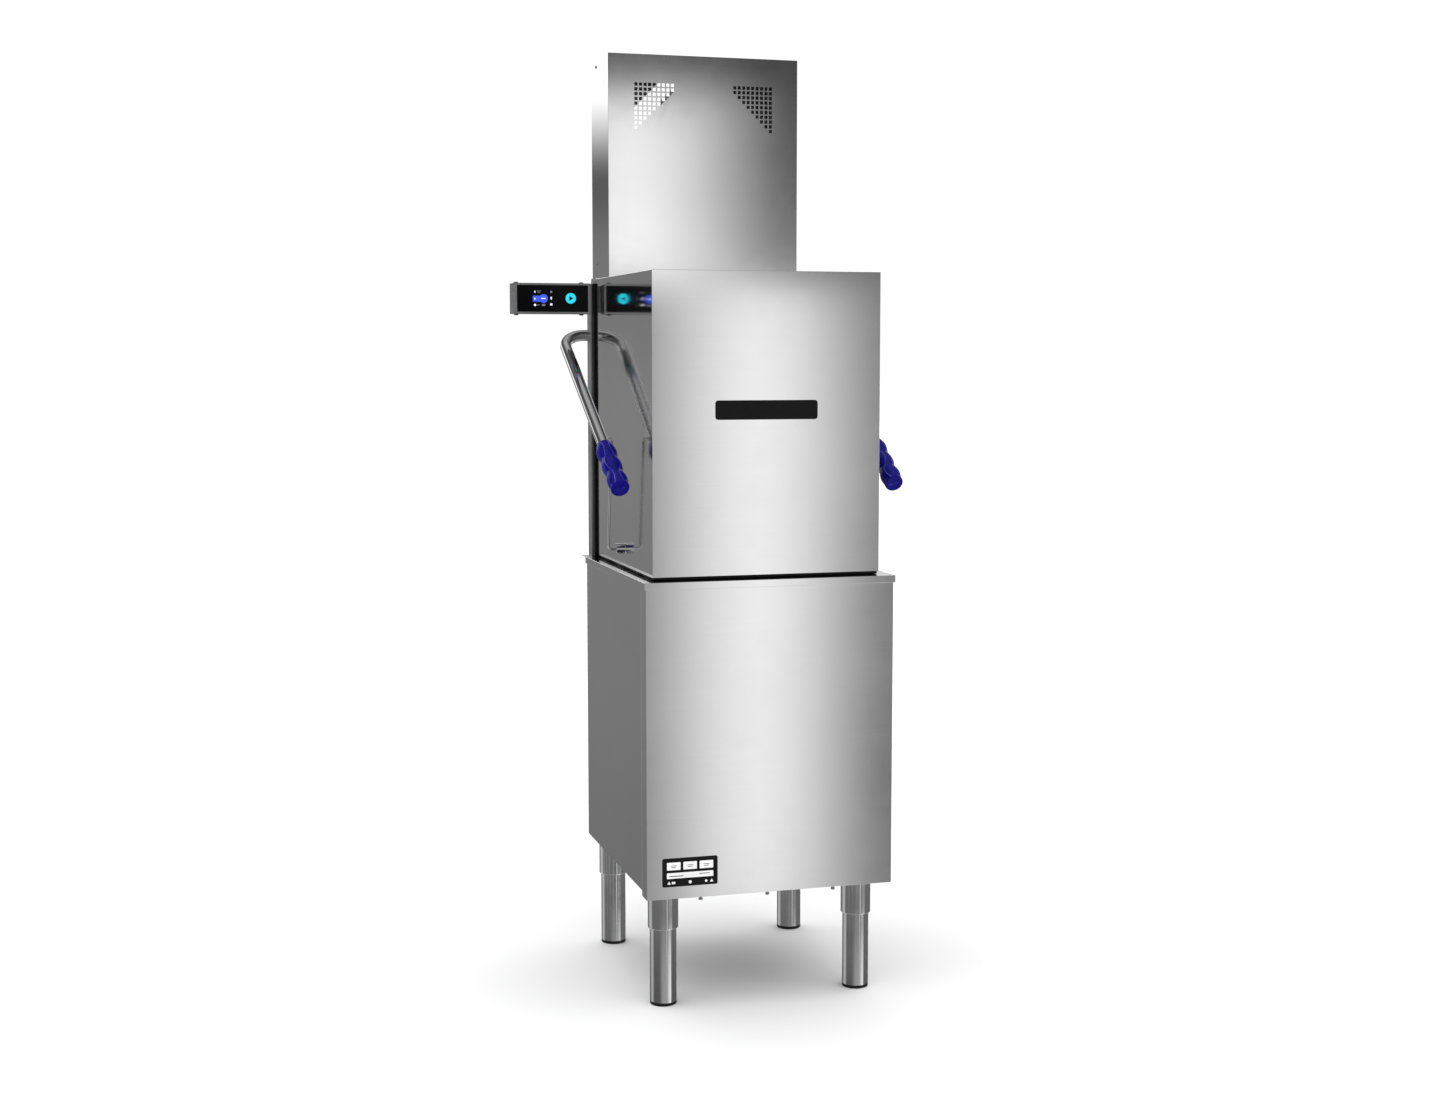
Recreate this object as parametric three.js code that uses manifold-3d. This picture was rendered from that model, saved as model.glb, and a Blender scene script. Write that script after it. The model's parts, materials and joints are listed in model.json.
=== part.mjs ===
// Hood-type commercial dishwasher with an exhaust tower, in millimetres, +Z up.
// The machine is drawn about its own middle plane (x = 0), with the front panel at y = 0 and the
// floor at z = 0. The last lines move it so that the origin is the bottom centre of its overall box.
import * as THREE from 'three';
import { mergeVertices } from 'three/addons/utils/BufferGeometryUtils.js';
import Module from 'manifold-3d';

const wasm = await Module();
wasm.setup();

// ---------------------------------------------------------------- driving dimensions
const GAP = 0.3; // between pieces that touch
const SHEET = 1.5; // panel sheet
const ROUND = 16; // sides of a large round piece
const FINE = 12; // sides of a small round piece

const CABINET = { width: 606, depth: 636, front: 275, side: 289, top: 1017.7 };
const RIM = { overhang: 4, height: 17, top: 1020, plate: 2, back: 678 };
const TANK = { halfWidth: 257, front: 58, back: 562, floor: 820, wall: 2 };
const SUMP = { left: -210, right: -60, front: 215, back: 385, floor: 760 };
const HUB = { x: 0, y: 300 }; // axis of the wash and rinse arms
const HOOD = { halfWidth: 278, front: 34, back: 623, topBack: 577, bottom: 1027, top: 1735 };
const LINING = 17; // depth of the hood's inner skin behind its shell
const COLUMN = { inner: 262, outer: 288.5, front: 642, back: 679, top: 1723.7 };
const TOWER = { halfWidth: 251.5, front: 586, back: 778, bottom: 1737.3, top: 2300 };
const LEG = { x: 243, front: 84, back: 610, socket: 72.5, tube: 63.5, step: 186 };
const SHAFT = { y: 693, z: 1592, radius: 14.5 };
const HANDLE_CORNER = 354; // half distance between the arms at the shaft
const GRIP_END = { x: 339.5, y: 94, z: 1231 };
const GRIP_TOP_Y = 248;
const LINK = { x: 318, radius: 4, topY: 276, bossY: 316, bossZ: 1070 };
const BOSS = { radius: 13, reach: 300 };
const CONTROL = { left: -496, right: -296, front: 606, back: 651, bottom: 1645, top: 1723 };
const START = { x: -346.4, z: 1684.7, radius: 13.5 };

const RIM_HALF = CABINET.width / 2 + RIM.overhang;
const CHASSIS_TOP = CABINET.side - GAP;

// ---------------------------------------------------------------- finishes
function finish(color, roughness, metalness) {
  return { color, roughness, metalness };
}
const STEEL = finish(0xb9babb, 0.32, 1);
const DULL_STEEL = finish(0x9c9d9e, 0.45, 1);
const POLISHED = finish(0xd0d1d2, 0.12, 1);
const ALUMINIUM = finish(0x8c8e90, 0.4, 1);
const BLACK = finish(0x0b0b0c, 0.5, 0);
const BLACK_GLASS = finish(0x050507, 0.08, 0);
const BLUE = finish(0x06068c, 0.25, 0);
const CYAN = finish(0x17c4dc, 0.3, 0);
const GREY_PLASTIC = finish(0x6d7075, 0.5, 0);
const WHITE = finish(0xe8e9ea, 0.5, 0);
const MOTOR_GREY = finish(0x55595e, 0.45, 0.3);

// ---------------------------------------------------------------- shape helpers
const X_AXIS = new THREE.Vector3(1, 0, 0);
const Y_AXIS = new THREE.Vector3(0, 1, 0);
const Z_AXIS = new THREE.Vector3(0, 0, 1);

function toSolid(geometry) {
  const bare = geometry.clone();
  bare.deleteAttribute('normal');
  bare.deleteAttribute('uv');
  const merged = mergeVertices(bare, 1e-4);
  const mesh = new wasm.Mesh({
    numProp: 3,
    vertProperties: new Float32Array(merged.attributes.position.array),
    triVerts: new Uint32Array(merged.index.array),
  });
  return new wasm.Manifold(mesh);
}

function toGeometry(solid) {
  const mesh = solid.getMesh();
  const geometry = new THREE.BufferGeometry();
  geometry.setAttribute('position', new THREE.BufferAttribute(mesh.vertProperties, 3));
  geometry.setIndex(new THREE.BufferAttribute(mesh.triVerts, 1));
  geometry.computeVertexNormals();
  return geometry;
}

function cut(body, ...tools) {
  return toGeometry(tools.reduce((rest, tool) => rest.subtract(toSolid(tool)), toSolid(body)));
}

function join(body, ...others) {
  return toGeometry(others.reduce((sum, other) => sum.add(toSolid(other)), toSolid(body)));
}

// A box from its lowest to its highest corner.
function block(x0, y0, z0, x1, y1, z1) {
  const box = new THREE.BoxGeometry(x1 - x0, y1 - y0, z1 - z0);
  return box.translate((x0 + x1) / 2, (y0 + y1) / 2, (z0 + z1) / 2);
}

// Turns a geometry built about +Y so that it starts at a point and runs along a direction.
function aim(geometry, start, direction) {
  const turn = new THREE.Quaternion().setFromUnitVectors(Y_AXIS, direction.clone().normalize());
  return geometry.applyQuaternion(turn).translate(start.x, start.y, start.z);
}

function rod(start, end, radius, sides = FINE) {
  const length = start.distanceTo(end);
  const cylinder = new THREE.CylinderGeometry(radius, radius, length, sides);
  return aim(cylinder.translate(0, length / 2, 0), start, end.clone().sub(start));
}

// A body of revolution; profile is a list of [radius, distance along the axis].
function turned(profile, start, direction, sides = ROUND) {
  const points = profile.map(([radius, along]) => new THREE.Vector2(radius, along));
  return aim(new THREE.LatheGeometry(points, sides), start, direction);
}

function ringProfile(inner, outer, low, high) {
  return [[inner, low], [outer, low], [outer, high], [inner, high], [inner, low]];
}

function discProfile(radius, low, high) {
  return [[0, low], [radius, low], [radius, high], [0, high]];
}

function point(x, y, z) {
  return new THREE.Vector3(x, y, z);
}

// A path through given stations, one sweep step for each stretch between them.
class StationPath extends THREE.Curve {
  constructor(stations) {
    super();
    this.stations = stations;
  }

  getPoint(t, target = new THREE.Vector3()) {
    const last = this.stations.length - 1;
    const place = Math.min(Math.max(t, 0), 1) * last;
    const index = Math.min(Math.floor(place + 1e-6), last - 1);
    return target.lerpVectors(this.stations[index], this.stations[index + 1], place - index);
  }

  getPointAt(u, target) {
    return this.getPoint(u, target);
  }

  getTangent(t, target = new THREE.Vector3()) {
    const last = this.stations.length - 1;
    const index = Math.round(Math.min(Math.max(t, 0), 1) * last);
    const here = this.stations[index];
    target.set(0, 0, 0);
    if (index > 0) target.add(here.clone().sub(this.stations[index - 1]).normalize());
    if (index < last) target.add(this.stations[index + 1].clone().sub(here).normalize());
    return target.normalize();
  }

  getTangentAt(u, target) {
    return this.getTangent(u, target);
  }
}

// Corner points with each inner corner replaced by an arc of the given bend radius.
function filleted(corners, bendRadius, arcSteps = 5) {
  const stations = [corners[0]];
  for (let i = 1; i < corners.length - 1; i += 1) {
    const back = corners[i - 1].clone().sub(corners[i]).normalize();
    const ahead = corners[i + 1].clone().sub(corners[i]).normalize();
    const half = back.angleTo(ahead) / 2;
    const reach = bendRadius / Math.tan(half);
    const inward = back.clone().add(ahead).normalize();
    const centre = corners[i].clone().addScaledVector(inward, bendRadius / Math.sin(half));
    const from = corners[i].clone().addScaledVector(back, reach).sub(centre);
    const sweep = Math.PI - 2 * half;
    const axis = back.clone().cross(ahead).normalize().negate();
    for (let step = 0; step <= arcSteps; step += 1) {
      const spoke = from.clone().applyAxisAngle(axis, (sweep * step) / arcSteps);
      stations.push(centre.clone().add(spoke));
    }
  }
  stations.push(corners[corners.length - 1]);
  return stations;
}

function sweptTube(stations, radius, sides = FINE) {
  const circle = new THREE.Shape();
  circle.absarc(0, 0, radius, 0, 2 * Math.PI);
  return new THREE.ExtrudeGeometry(circle, {
    steps: stations.length - 1,
    curveSegments: sides / 2,
    extrudePath: new StationPath(stations),
  });
}

// A flat outline in x and y, pushed up along z.
function prism(outline, z0, z1, holes = []) {
  const shape = new THREE.Shape(outline.map(([x, y]) => new THREE.Vector2(x, y)));
  for (const hole of holes) {
    shape.holes.push(new THREE.Path(hole.map(([x, y]) => new THREE.Vector2(x, y))));
  }
  const body = new THREE.ExtrudeGeometry(shape, { depth: z1 - z0, bevelEnabled: false });
  return body.translate(0, 0, z0);
}

// A flat outline in x and z, pushed back along y.
function facade(outline, y0, y1, holes = []) {
  const body = prism(outline, 0, y1 - y0, holes);
  return body.applyMatrix4(new THREE.Matrix4().makeBasis(X_AXIS, Z_AXIS, Y_AXIS.clone().negate()))
    .translate(0, y1, 0);
}

function circlePoints(x, y, radius, sides = ROUND) {
  const list = [];
  for (let i = 0; i < sides; i += 1) {
    const angle = (2 * Math.PI * i) / sides;
    list.push([x + radius * Math.cos(angle), y + radius * Math.sin(angle)]);
  }
  return list;
}

// A rectangle with rounded corners, as outline points.
function roundedRectangle(x0, y0, x1, y1, radius, cornerSteps = 4) {
  const corners = [[x1 - radius, y1 - radius], [x0 + radius, y1 - radius],
    [x0 + radius, y0 + radius], [x1 - radius, y0 + radius]];
  const list = [];
  corners.forEach(([x, y], quarter) => {
    for (let i = 0; i <= cornerSteps; i += 1) {
      const angle = (Math.PI / 2) * (quarter + i / cornerSteps);
      list.push([x + radius * Math.cos(angle), y + radius * Math.sin(angle)]);
    }
  });
  return list;
}

function mirroredX(geometry) {
  const solid = toSolid(geometry).mirror([1, 0, 0]);
  return toGeometry(solid);
}

// ---------------------------------------------------------------- the machine as a scene graph
const machine = new THREE.Group();

function addPart(name, geometry, look) {
  const material = new THREE.MeshStandardMaterial(look);
  const mesh = new THREE.Mesh(geometry, material);
  mesh.name = name;
  machine.add(mesh);
  return mesh;
}

// Adds the given left-hand piece and its mirror image on the right.
function addPair(name, leftGeometry, look) {
  addPart(`left_${name}`, leftGeometry, look);
  addPart(`right_${name}`, mirroredX(leftGeometry), look);
}

// ---------------------------------------------------------------- cabinet
const SCREW_ROW = { y: 30, pitch: 165, shank: 2.5, neck: 3.5, head: 5, headHeight: 5, height: 15 };
const FRONT_RETURN = 47;
const SIDE_RETURN = 20;
const LOUVRE = { width: 90, height: 7, pitch: 20, rows: 5 };
const WATER_INLET = { x: 190, z: 360, bore: 14 };
const DRAIN = { x: -150, z: 345, bore: 21.5 };
const GLAND = { x: 60, z: 345, bore: 11 };

function screwPlaces() {
  return [-1, 0, 1].map((step) => step * SCREW_ROW.pitch);
}

function frontPanel() {
  const half = CABINET.width / 2;
  const tray = cut(
    block(-half, 0, CABINET.front, half, FRONT_RETURN, CABINET.top),
    block(-half + SHEET, SHEET, CABINET.front + SHEET, half - SHEET, FRONT_RETURN + 1,
      CABINET.top - SHEET),
  );
  const holes = screwPlaces().map((x) => rod(point(x, SCREW_ROW.y, CABINET.front - 1),
    point(x, SCREW_ROW.y, CABINET.front + SHEET + 1), SCREW_ROW.shank + 0.7));
  return cut(tray, ...holes);
}

function sidePanel() {
  const half = CABINET.width / 2;
  const front = FRONT_RETURN + GAP;
  return cut(
    block(-half, front, CABINET.side, -half + SIDE_RETURN, CABINET.depth, CABINET.top),
    block(-half + SHEET, front + SHEET, CABINET.side + SHEET, 0, CABINET.depth - SHEET,
      CABINET.top - SHEET),
  );
}

function rearPanel() {
  const half = CABINET.width / 2 - SIDE_RETURN - GAP;
  const depth = 15;
  const tray = cut(
    block(-half, CABINET.depth - depth, CABINET.side, half, CABINET.depth, CABINET.top),
    block(-half + SHEET, 0, CABINET.side + SHEET, half - SHEET, CABINET.depth - SHEET,
      CABINET.top - SHEET),
  );
  const slots = [];
  for (const x of [-LOUVRE.width, LOUVRE.width]) {
    for (let row = 0; row < LOUVRE.rows; row += 1) {
      const z = 620 + row * LOUVRE.pitch;
      slots.push(block(x - LOUVRE.width / 2, CABINET.depth - 5, z, x + LOUVRE.width / 2,
        CABINET.depth + 1, z + LOUVRE.height));
    }
  }
  const bores = [WATER_INLET, DRAIN, GLAND].map((hole) => rod(
    point(hole.x, CABINET.depth - 5, hole.z), point(hole.x, CABINET.depth + 1, hole.z),
    hole.bore, ROUND));
  return cut(tray, ...slots, ...bores);
}

function chassis() {
  const half = CABINET.width / 2 - SHEET;
  const plate = block(-half, FRONT_RETURN + 2, CHASSIS_TOP - 2.5, half, CABINET.depth - 1, CHASSIS_TOP);
  const rails = [-LEG.x, LEG.x].map((x) => block(x - 18, 75, CHASSIS_TOP - 0.1, x + 18, 615,
    CHASSIS_TOP + 25));
  const sockets = [];
  for (const x of [-LEG.x, LEG.x]) {
    for (const y of [LEG.front, LEG.back]) {
      sockets.push(turned(ringProfile(LEG.tube / 2 + 0.8, LEG.socket / 2, LEG.step, CHASSIS_TOP - 2),
        point(x, y, 0), Z_AXIS));
    }
  }
  return join(plate, ...rails, ...sockets);
}

function tankRim() {
  const shell = cut(
    block(-RIM_HALF, -RIM.overhang, RIM.top - RIM.height, RIM_HALF, RIM.back, RIM.top),
    block(-RIM_HALF + SHEET, -RIM.overhang + SHEET, 0, RIM_HALF - SHEET, RIM.back + 1,
      RIM.top - RIM.plate),
  );
  const inner = TANK.halfWidth - TANK.wall;
  const opening = block(-inner, TANK.front + TANK.wall, 900, inner, TANK.back - TANK.wall, 1100);
  const behindPanels = block(-400, CABINET.depth, 900, 400, RIM.back + 1, RIM.top - RIM.plate);
  return cut(shell, opening, behindPanels);
}

addPart('front_panel', frontPanel(), STEEL);
addPair('side_panel', sidePanel(), STEEL);
addPart('rear_panel', rearPanel(), STEEL);
addPart('chassis', chassis(), DULL_STEEL);
addPart('tank_rim', tankRim(), STEEL);

// Knurled thumb screws that hold the front panel to the chassis flange.
function panelScrew(x) {
  const { head, headHeight, height, neck, shank } = SCREW_ROW;
  const profile = [[0, 0], [head - 1, 0], [head, 1], [head, headHeight - 1], [head - 1, headHeight],
    [neck, headHeight], [neck, height], [shank, height], [shank, height + 18], [0, height + 18]];
  return turned(profile, point(x, SCREW_ROW.y, CABINET.front - height - GAP), Z_AXIS, FINE);
}

screwPlaces().forEach((x, i) => addPart(`panel_screw_${i + 1}`, panelScrew(x), POLISHED));
addPart('data_label', facade(roundedRectangle(-266, 304, -132, 372, 4, 3), -0.9, -GAP), BLACK);

// ---------------------------------------------------------------- legs
const FOOT = { height: 7, spigot: 30 };
const TUBE_TOP = 225;

function legTube(x, y) {
  return turned(ringProfile(LEG.tube / 2 - 2, LEG.tube / 2, FOOT.height + GAP, TUBE_TOP),
    point(x, y, 0), Z_AXIS);
}

function footPad(x, y) {
  const radius = LEG.tube / 2;
  const spigot = radius - 2 - GAP;
  return turned([[0, 0], [radius - 1.5, 0], [radius, 2], [radius, FOOT.height], [spigot, FOOT.height],
    [spigot, FOOT.spigot], [0, FOOT.spigot]], point(x, y, 0), Z_AXIS);
}

for (const [side, x] of [['left', -LEG.x], ['right', LEG.x]]) {
  for (const [end, y] of [['front', LEG.front], ['rear', LEG.back]]) {
    addPart(`${end}_${side}_leg_tube`, legTube(x, y), POLISHED);
    addPart(`${end}_${side}_foot_pad`, footPad(x, y), BLACK);
  }
}

// ---------------------------------------------------------------- wash tank and what is in it
const PIPE = { radius: 17, spindle: 6, hubTop: 905, spindleTop: 978 };
const RACK_LEVEL = { low: 986, high: 1000, lip: 1014 };

function washTank() {
  const { halfWidth, front, back, floor, wall } = TANK;
  const outside = join(
    block(-halfWidth, front, floor, halfWidth, back, CABINET.top),
    block(SUMP.left, SUMP.front, SUMP.floor, SUMP.right, SUMP.back, floor + 1),
  );
  return cut(
    outside,
    block(-halfWidth + wall, front + wall, floor + wall, halfWidth - wall, back - wall,
      CABINET.top + 1),
    block(SUMP.left + wall, SUMP.front + wall, SUMP.floor + wall, SUMP.right - wall,
      SUMP.back - wall, floor + wall + 1),
    rod(point(HUB.x, HUB.y, floor - 5), point(HUB.x, HUB.y, floor + 5), PIPE.radius + 1, ROUND),
  );
}

function tankFilter() {
  const half = TANK.halfWidth - TANK.wall - 1;
  const plate = block(-half, TANK.front + TANK.wall + 1, 860, half, TANK.back - TANK.wall - 1, 862);
  const slots = [];
  for (let column = -2; column <= 2; column += 1) {
    for (const y of [110, 190, 370, 450]) {
      slots.push(block(column * 95 - 35, y, 855, column * 95 + 35, y + 50, 870));
    }
  }
  const hub = rod(point(HUB.x, HUB.y, 850), point(HUB.x, HUB.y, 870), PIPE.radius + 3, ROUND);
  return cut(plate, ...slots, hub);
}

function rackGuide() {
  const reach = TANK.halfWidth - TANK.wall - GAP;
  const { low, high, lip } = RACK_LEVEL;
  const frame = cut(
    block(-246, 80, low, 246, 540, high),
    block(-228, 98, low - 1, 228, 522, high + 1),
  );
  const lips = [-1, 1].map((side) => block(Math.min(side * 243, side * 246), 80, high - 1,
    Math.max(side * 243, side * 246), 540, lip));
  const ears = [];
  for (const side of [-1, 1]) {
    for (const y of [120, 470]) {
      ears.push(block(Math.min(side * 240, side * reach), y, low, Math.max(side * 240, side * reach),
        y + 30, high));
    }
  }
  return join(frame, ...lips, ...ears);
}

function tankHeater() {
  const route = filleted([point(225, 110, 835), point(-225, 110, 835), point(-225, 150, 835),
    point(225, 150, 835)], 19, 4);
  return sweptTube(route, 5, 8);
}

addPart('wash_tank', washTank(), STEEL);
addPart('tank_filter', tankFilter(), DULL_STEEL);
addPart('rack_guide', rackGuide(), POLISHED);
addPart('tank_heater', tankHeater(), DULL_STEEL);

// ---------------------------------------------------------------- wash and rinse arms
// An arm is a flat blade with round ends, jet slots along one face, and a bored hub.
function sprayArm({ z0, z1, hub0, hub1, halfLength, halfWidth, jets, jetUp }) {
  const blade = prism(roundedRectangle(HUB.x - halfLength, HUB.y - halfWidth, HUB.x + halfLength,
    HUB.y + halfWidth, halfWidth, 5), z0, z1);
  const hub = rod(point(HUB.x, HUB.y, hub0), point(HUB.x, HUB.y, hub1), halfWidth + 4, ROUND);
  const face = jetUp ? z1 : z0;
  const slots = [];
  for (const side of [-1, 1]) {
    for (let i = 1; i <= jets; i += 1) {
      const x = HUB.x + side * (halfWidth + (i * (halfLength - halfWidth - 10)) / jets);
      slots.push(block(x - 3, HUB.y - halfWidth * 0.5, face - 3, x + 3, HUB.y + halfWidth * 0.5,
        face + 3));
    }
  }
  const bore = rod(point(HUB.x, HUB.y, hub0 - 1), point(HUB.x, HUB.y, hub1 + 1), PIPE.spindle + 0.7,
    FINE);
  return cut(join(blade, hub), ...slots, bore);
}

const UPPER = { pipeZ: 1665, hubLow: 1640, spindleLow: 1568 };

addPart('lower_wash_arm', sprayArm({
  z0: 915, z1: 931, hub0: PIPE.hubTop + GAP, hub1: 941, halfLength: 228, halfWidth: 24, jets: 5,
  jetUp: true,
}), POLISHED);
addPart('lower_rinse_arm', sprayArm({
  z0: 948, z1: 957, hub0: 941 + GAP, hub1: 966, halfLength: 214, halfWidth: 9, jets: 5, jetUp: true,
}), POLISHED);
addPart('upper_wash_arm', sprayArm({
  z0: 1612, z1: 1628, hub0: 1604, hub1: UPPER.hubLow - GAP, halfLength: 228, halfWidth: 24, jets: 5,
  jetUp: false,
}), POLISHED);
addPart('upper_rinse_arm', sprayArm({
  z0: 1586, z1: 1595, hub0: 1579, hub1: 1604 - GAP, halfLength: 214, halfWidth: 9, jets: 5,
  jetUp: false,
}), POLISHED);

// ---------------------------------------------------------------- pump, pipes and services
const PUMP = { x: 0, z: 470, front: 250, casing: 60, radius: 85 };
const RISER = { x: 0, y: 606, radius: 15 };

function washPumpBody() {
  const casing = turned([[0, 0], [30, 0], [34, 6], [PUMP.radius - 8, 8], [PUMP.radius, 16],
    [PUMP.radius, PUMP.casing - 8], [PUMP.radius - 8, PUMP.casing], [0, PUMP.casing]],
  point(PUMP.x, PUMP.front, PUMP.z), Y_AXIS);
  const suction = sweptTube(filleted([point(PUMP.x, PUMP.front + 2, PUMP.z),
    point(PUMP.x, PUMP.front - 60, PUMP.z), point(-135, PUMP.front - 60, PUMP.z),
    point(-135, PUMP.front - 60, 600), point(-135, 300, 700), point(-135, 300, SUMP.floor - GAP)],
  32, 3), 24);
  return join(casing, suction);
}

function washPumpMotor() {
  const start = PUMP.front + PUMP.casing + GAP;
  const profile = [[0, 0], [58, 0]];
  for (let rib = 0; rib < 4; rib += 1) {
    const along = 20 + rib * 30;
    profile.push([58, along], [64, along], [64, along + 14], [58, along + 14]);
  }
  profile.push([58, 150], [50, 158], [0, 158]);
  const body = turned(profile, point(PUMP.x, start, PUMP.z), Y_AXIS, 16);
  const feet = [30, 110].map((along) => block(PUMP.x - 50, start + along, CHASSIS_TOP + GAP,
    PUMP.x + 50, start + along + 12, PUMP.z - 40));
  return join(body, ...feet);
}

// Pressure side: up from the pump to the lower hub, with a branch to the upper wash pipe.
function deliveryPipe() {
  const level = 700;
  const up = sweptTube(filleted([point(PUMP.x, PUMP.front + 30, PUMP.z + PUMP.radius + GAP),
    point(PUMP.x, PUMP.front + 30, level - 60), point(HUB.x, HUB.y, level - 20),
    point(HUB.x, HUB.y, PIPE.hubTop)], 20, 3), PIPE.radius);
  const spindle = rod(point(HUB.x, HUB.y, PIPE.hubTop - 5), point(HUB.x, HUB.y, PIPE.spindleTop),
    PIPE.spindle);
  const branch = sweptTube(filleted([point(HUB.x, HUB.y, level), point(RISER.x, RISER.y, level),
    point(RISER.x, RISER.y, RIM.top - RIM.plate - GAP)], 40, 4), RISER.radius);
  return join(up, spindle, branch);
}

function upperWashPipe() {
  const route = filleted([point(RISER.x, RISER.y, RIM.top + GAP + 4),
    point(RISER.x, RISER.y, UPPER.pipeZ), point(HUB.x, HUB.y, UPPER.pipeZ)], 50, 6);
  const foot = rod(point(RISER.x, RISER.y, RIM.top + GAP), point(RISER.x, RISER.y, RIM.top + 6),
    RISER.radius + 10, ROUND);
  const head = rod(point(HUB.x, HUB.y, UPPER.hubLow), point(HUB.x, HUB.y, UPPER.pipeZ + 19), 21,
    ROUND);
  const spindle = rod(point(HUB.x, HUB.y, UPPER.spindleLow), point(HUB.x, HUB.y, UPPER.hubLow + 5),
    PIPE.spindle);
  return join(sweptTube(route, RISER.radius), foot, head, spindle);
}

function rinseBoiler() {
  const wall = 2;
  const shell = turned([[8, 0], [70, 0], [85, 12], [85, 318], [70, 330], [0, 330], [0, 330 - wall],
    [70 - wall, 330 - wall], [85 - wall, 318], [85 - wall, 12], [70 - wall, wall], [8, wall], [8, 0]],
  point(185, 480, CHASSIS_TOP + 40), Z_AXIS);
  const legs = [150, 210].map((x) => block(x, 450, CHASSIS_TOP + GAP, x + 6, 510, CHASSIS_TOP + 41));
  const outlet = sweptTube(filleted([point(185, 480, 657.5), point(185, 480, 720),
    point(70, 480, 720)], 20, 3), 8, 8);
  return join(shell, ...legs, outlet);
}

function dosingPumps() {
  const housing = block(150, 60, 430, 250, 110, 520);
  const heads = [175, 225].map((x) => turned([[0, 0], [18, 0], [20, 3], [20, 14], [0, 16]],
    point(x, 109, 490), Y_AXIS, 16));
  return join(housing, ...heads);
}

function drainPipe() {
  const route = filleted([point(-185, 350, SUMP.floor - GAP), point(-185, 350, 640),
    point(-230, 430, 560), point(DRAIN.x, 500, DRAIN.z), point(DRAIN.x, CABINET.depth + 45, DRAIN.z)],
  30, 3);
  return sweptTube(route, 16);
}

function inletValve() {
  const start = CABINET.depth - 60;
  const body = block(WATER_INLET.x - 22, start, WATER_INLET.z - 22, WATER_INLET.x + 22, start + 35,
    WATER_INLET.z + 22);
  const stub = turned([[0, 0], [13, 0], [13, 28], [10, 28], [10, 60], [13, 60], [13, 78], [9, 78],
    [9, 50], [0, 50]], point(WATER_INLET.x, start + 30, WATER_INLET.z), Y_AXIS);
  const coil = turned(discProfile(16, 0, 34), point(WATER_INLET.x, start + 17, WATER_INLET.z + 21),
    Z_AXIS);
  return join(body, stub, coil);
}

function cableGland() {
  const start = CABINET.depth + GAP;
  return turned([[5, 0], [15, 0], [15, 6], [12, 8], [12, 14], [14, 16], [14, 24], [9, 32], [5, 32],
    [5, 0]], point(GLAND.x, start, GLAND.z), Y_AXIS);
}

function electricalBox() {
  const box = cut(block(-270, 80, 380, -168, 190, 620), block(-268, 78, 382, -170, 188, 618));
  const contactors = [400, 470, 540].map((z) => block(-255, 130, z, -185, 189, z + 50));
  return join(box, ...contactors);
}

addPart('wash_pump_body', washPumpBody(), DULL_STEEL);
addPart('wash_pump_motor', washPumpMotor(), MOTOR_GREY);
addPart('delivery_pipe', deliveryPipe(), DULL_STEEL);
addPart('upper_wash_pipe', upperWashPipe(), STEEL);
addPart('rinse_boiler', rinseBoiler(), STEEL);
addPart('dosing_pumps', dosingPumps(), GREY_PLASTIC);
addPart('drain_pipe', drainPipe(), GREY_PLASTIC);
addPart('inlet_valve', inletValve(), WHITE);
addPart('cable_gland', cableGland(), BLACK);
addPart('electrical_box', electricalBox(), GREY_PLASTIC);

// ---------------------------------------------------------------- rear frame
const STEAM_SLOT = { half: 150, front: 594, back: 618 };
const SPRING = { y: 740, low: 1103, high: 1560, radius: 17, wire: 3, turns: 12 };

// Box-section column with the bearing eye of the handle's cross shaft welded on its back.
function column() {
  const { inner, outer, front, back, top } = COLUMN;
  const tube = cut(
    block(-outer, front, RIM.top + GAP, -inner, back, top),
    block(-outer + SHEET, front + SHEET, RIM.top - 1, -inner - SHEET, back - SHEET, top + 1),
  );
  const eye = block(-outer + 9, back - 1, SHAFT.z - 24, -inner, SHAFT.y + 22, SHAFT.z + 24);
  const bore = rod(point(-outer - 1, SHAFT.y, SHAFT.z), point(-inner + 1, SHAFT.y, SHAFT.z),
    SHAFT.radius + GAP, ROUND);
  return cut(join(tube, eye), bore);
}

// Black guide strip: a channel, open to the front, that the hood's rear edge runs in front of.
function guide() {
  return cut(
    block(-284, HOOD.back + 3, RIM.top + GAP, -264, COLUMN.front - GAP, COLUMN.top),
    block(-278, HOOD.back + 2, RIM.top, -270, COLUMN.front - 6, COLUMN.top + 1),
  );
}

function splashPanel() {
  const half = COLUMN.inner - GAP;
  const front = COLUMN.front;
  const sheet = block(-half, front, RIM.top + GAP, half, front + SHEET, COLUMN.top);
  const anchor = block(-40, front + 1, SPRING.low - 3 - GAP, 40, SPRING.y + 25, SPRING.low - GAP);
  const gussets = [-40, 37].map((x) => block(x, front + 1, SPRING.low - 60, x + 3, SPRING.y,
    SPRING.low - 2));
  return join(sheet, anchor, ...gussets);
}

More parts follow.
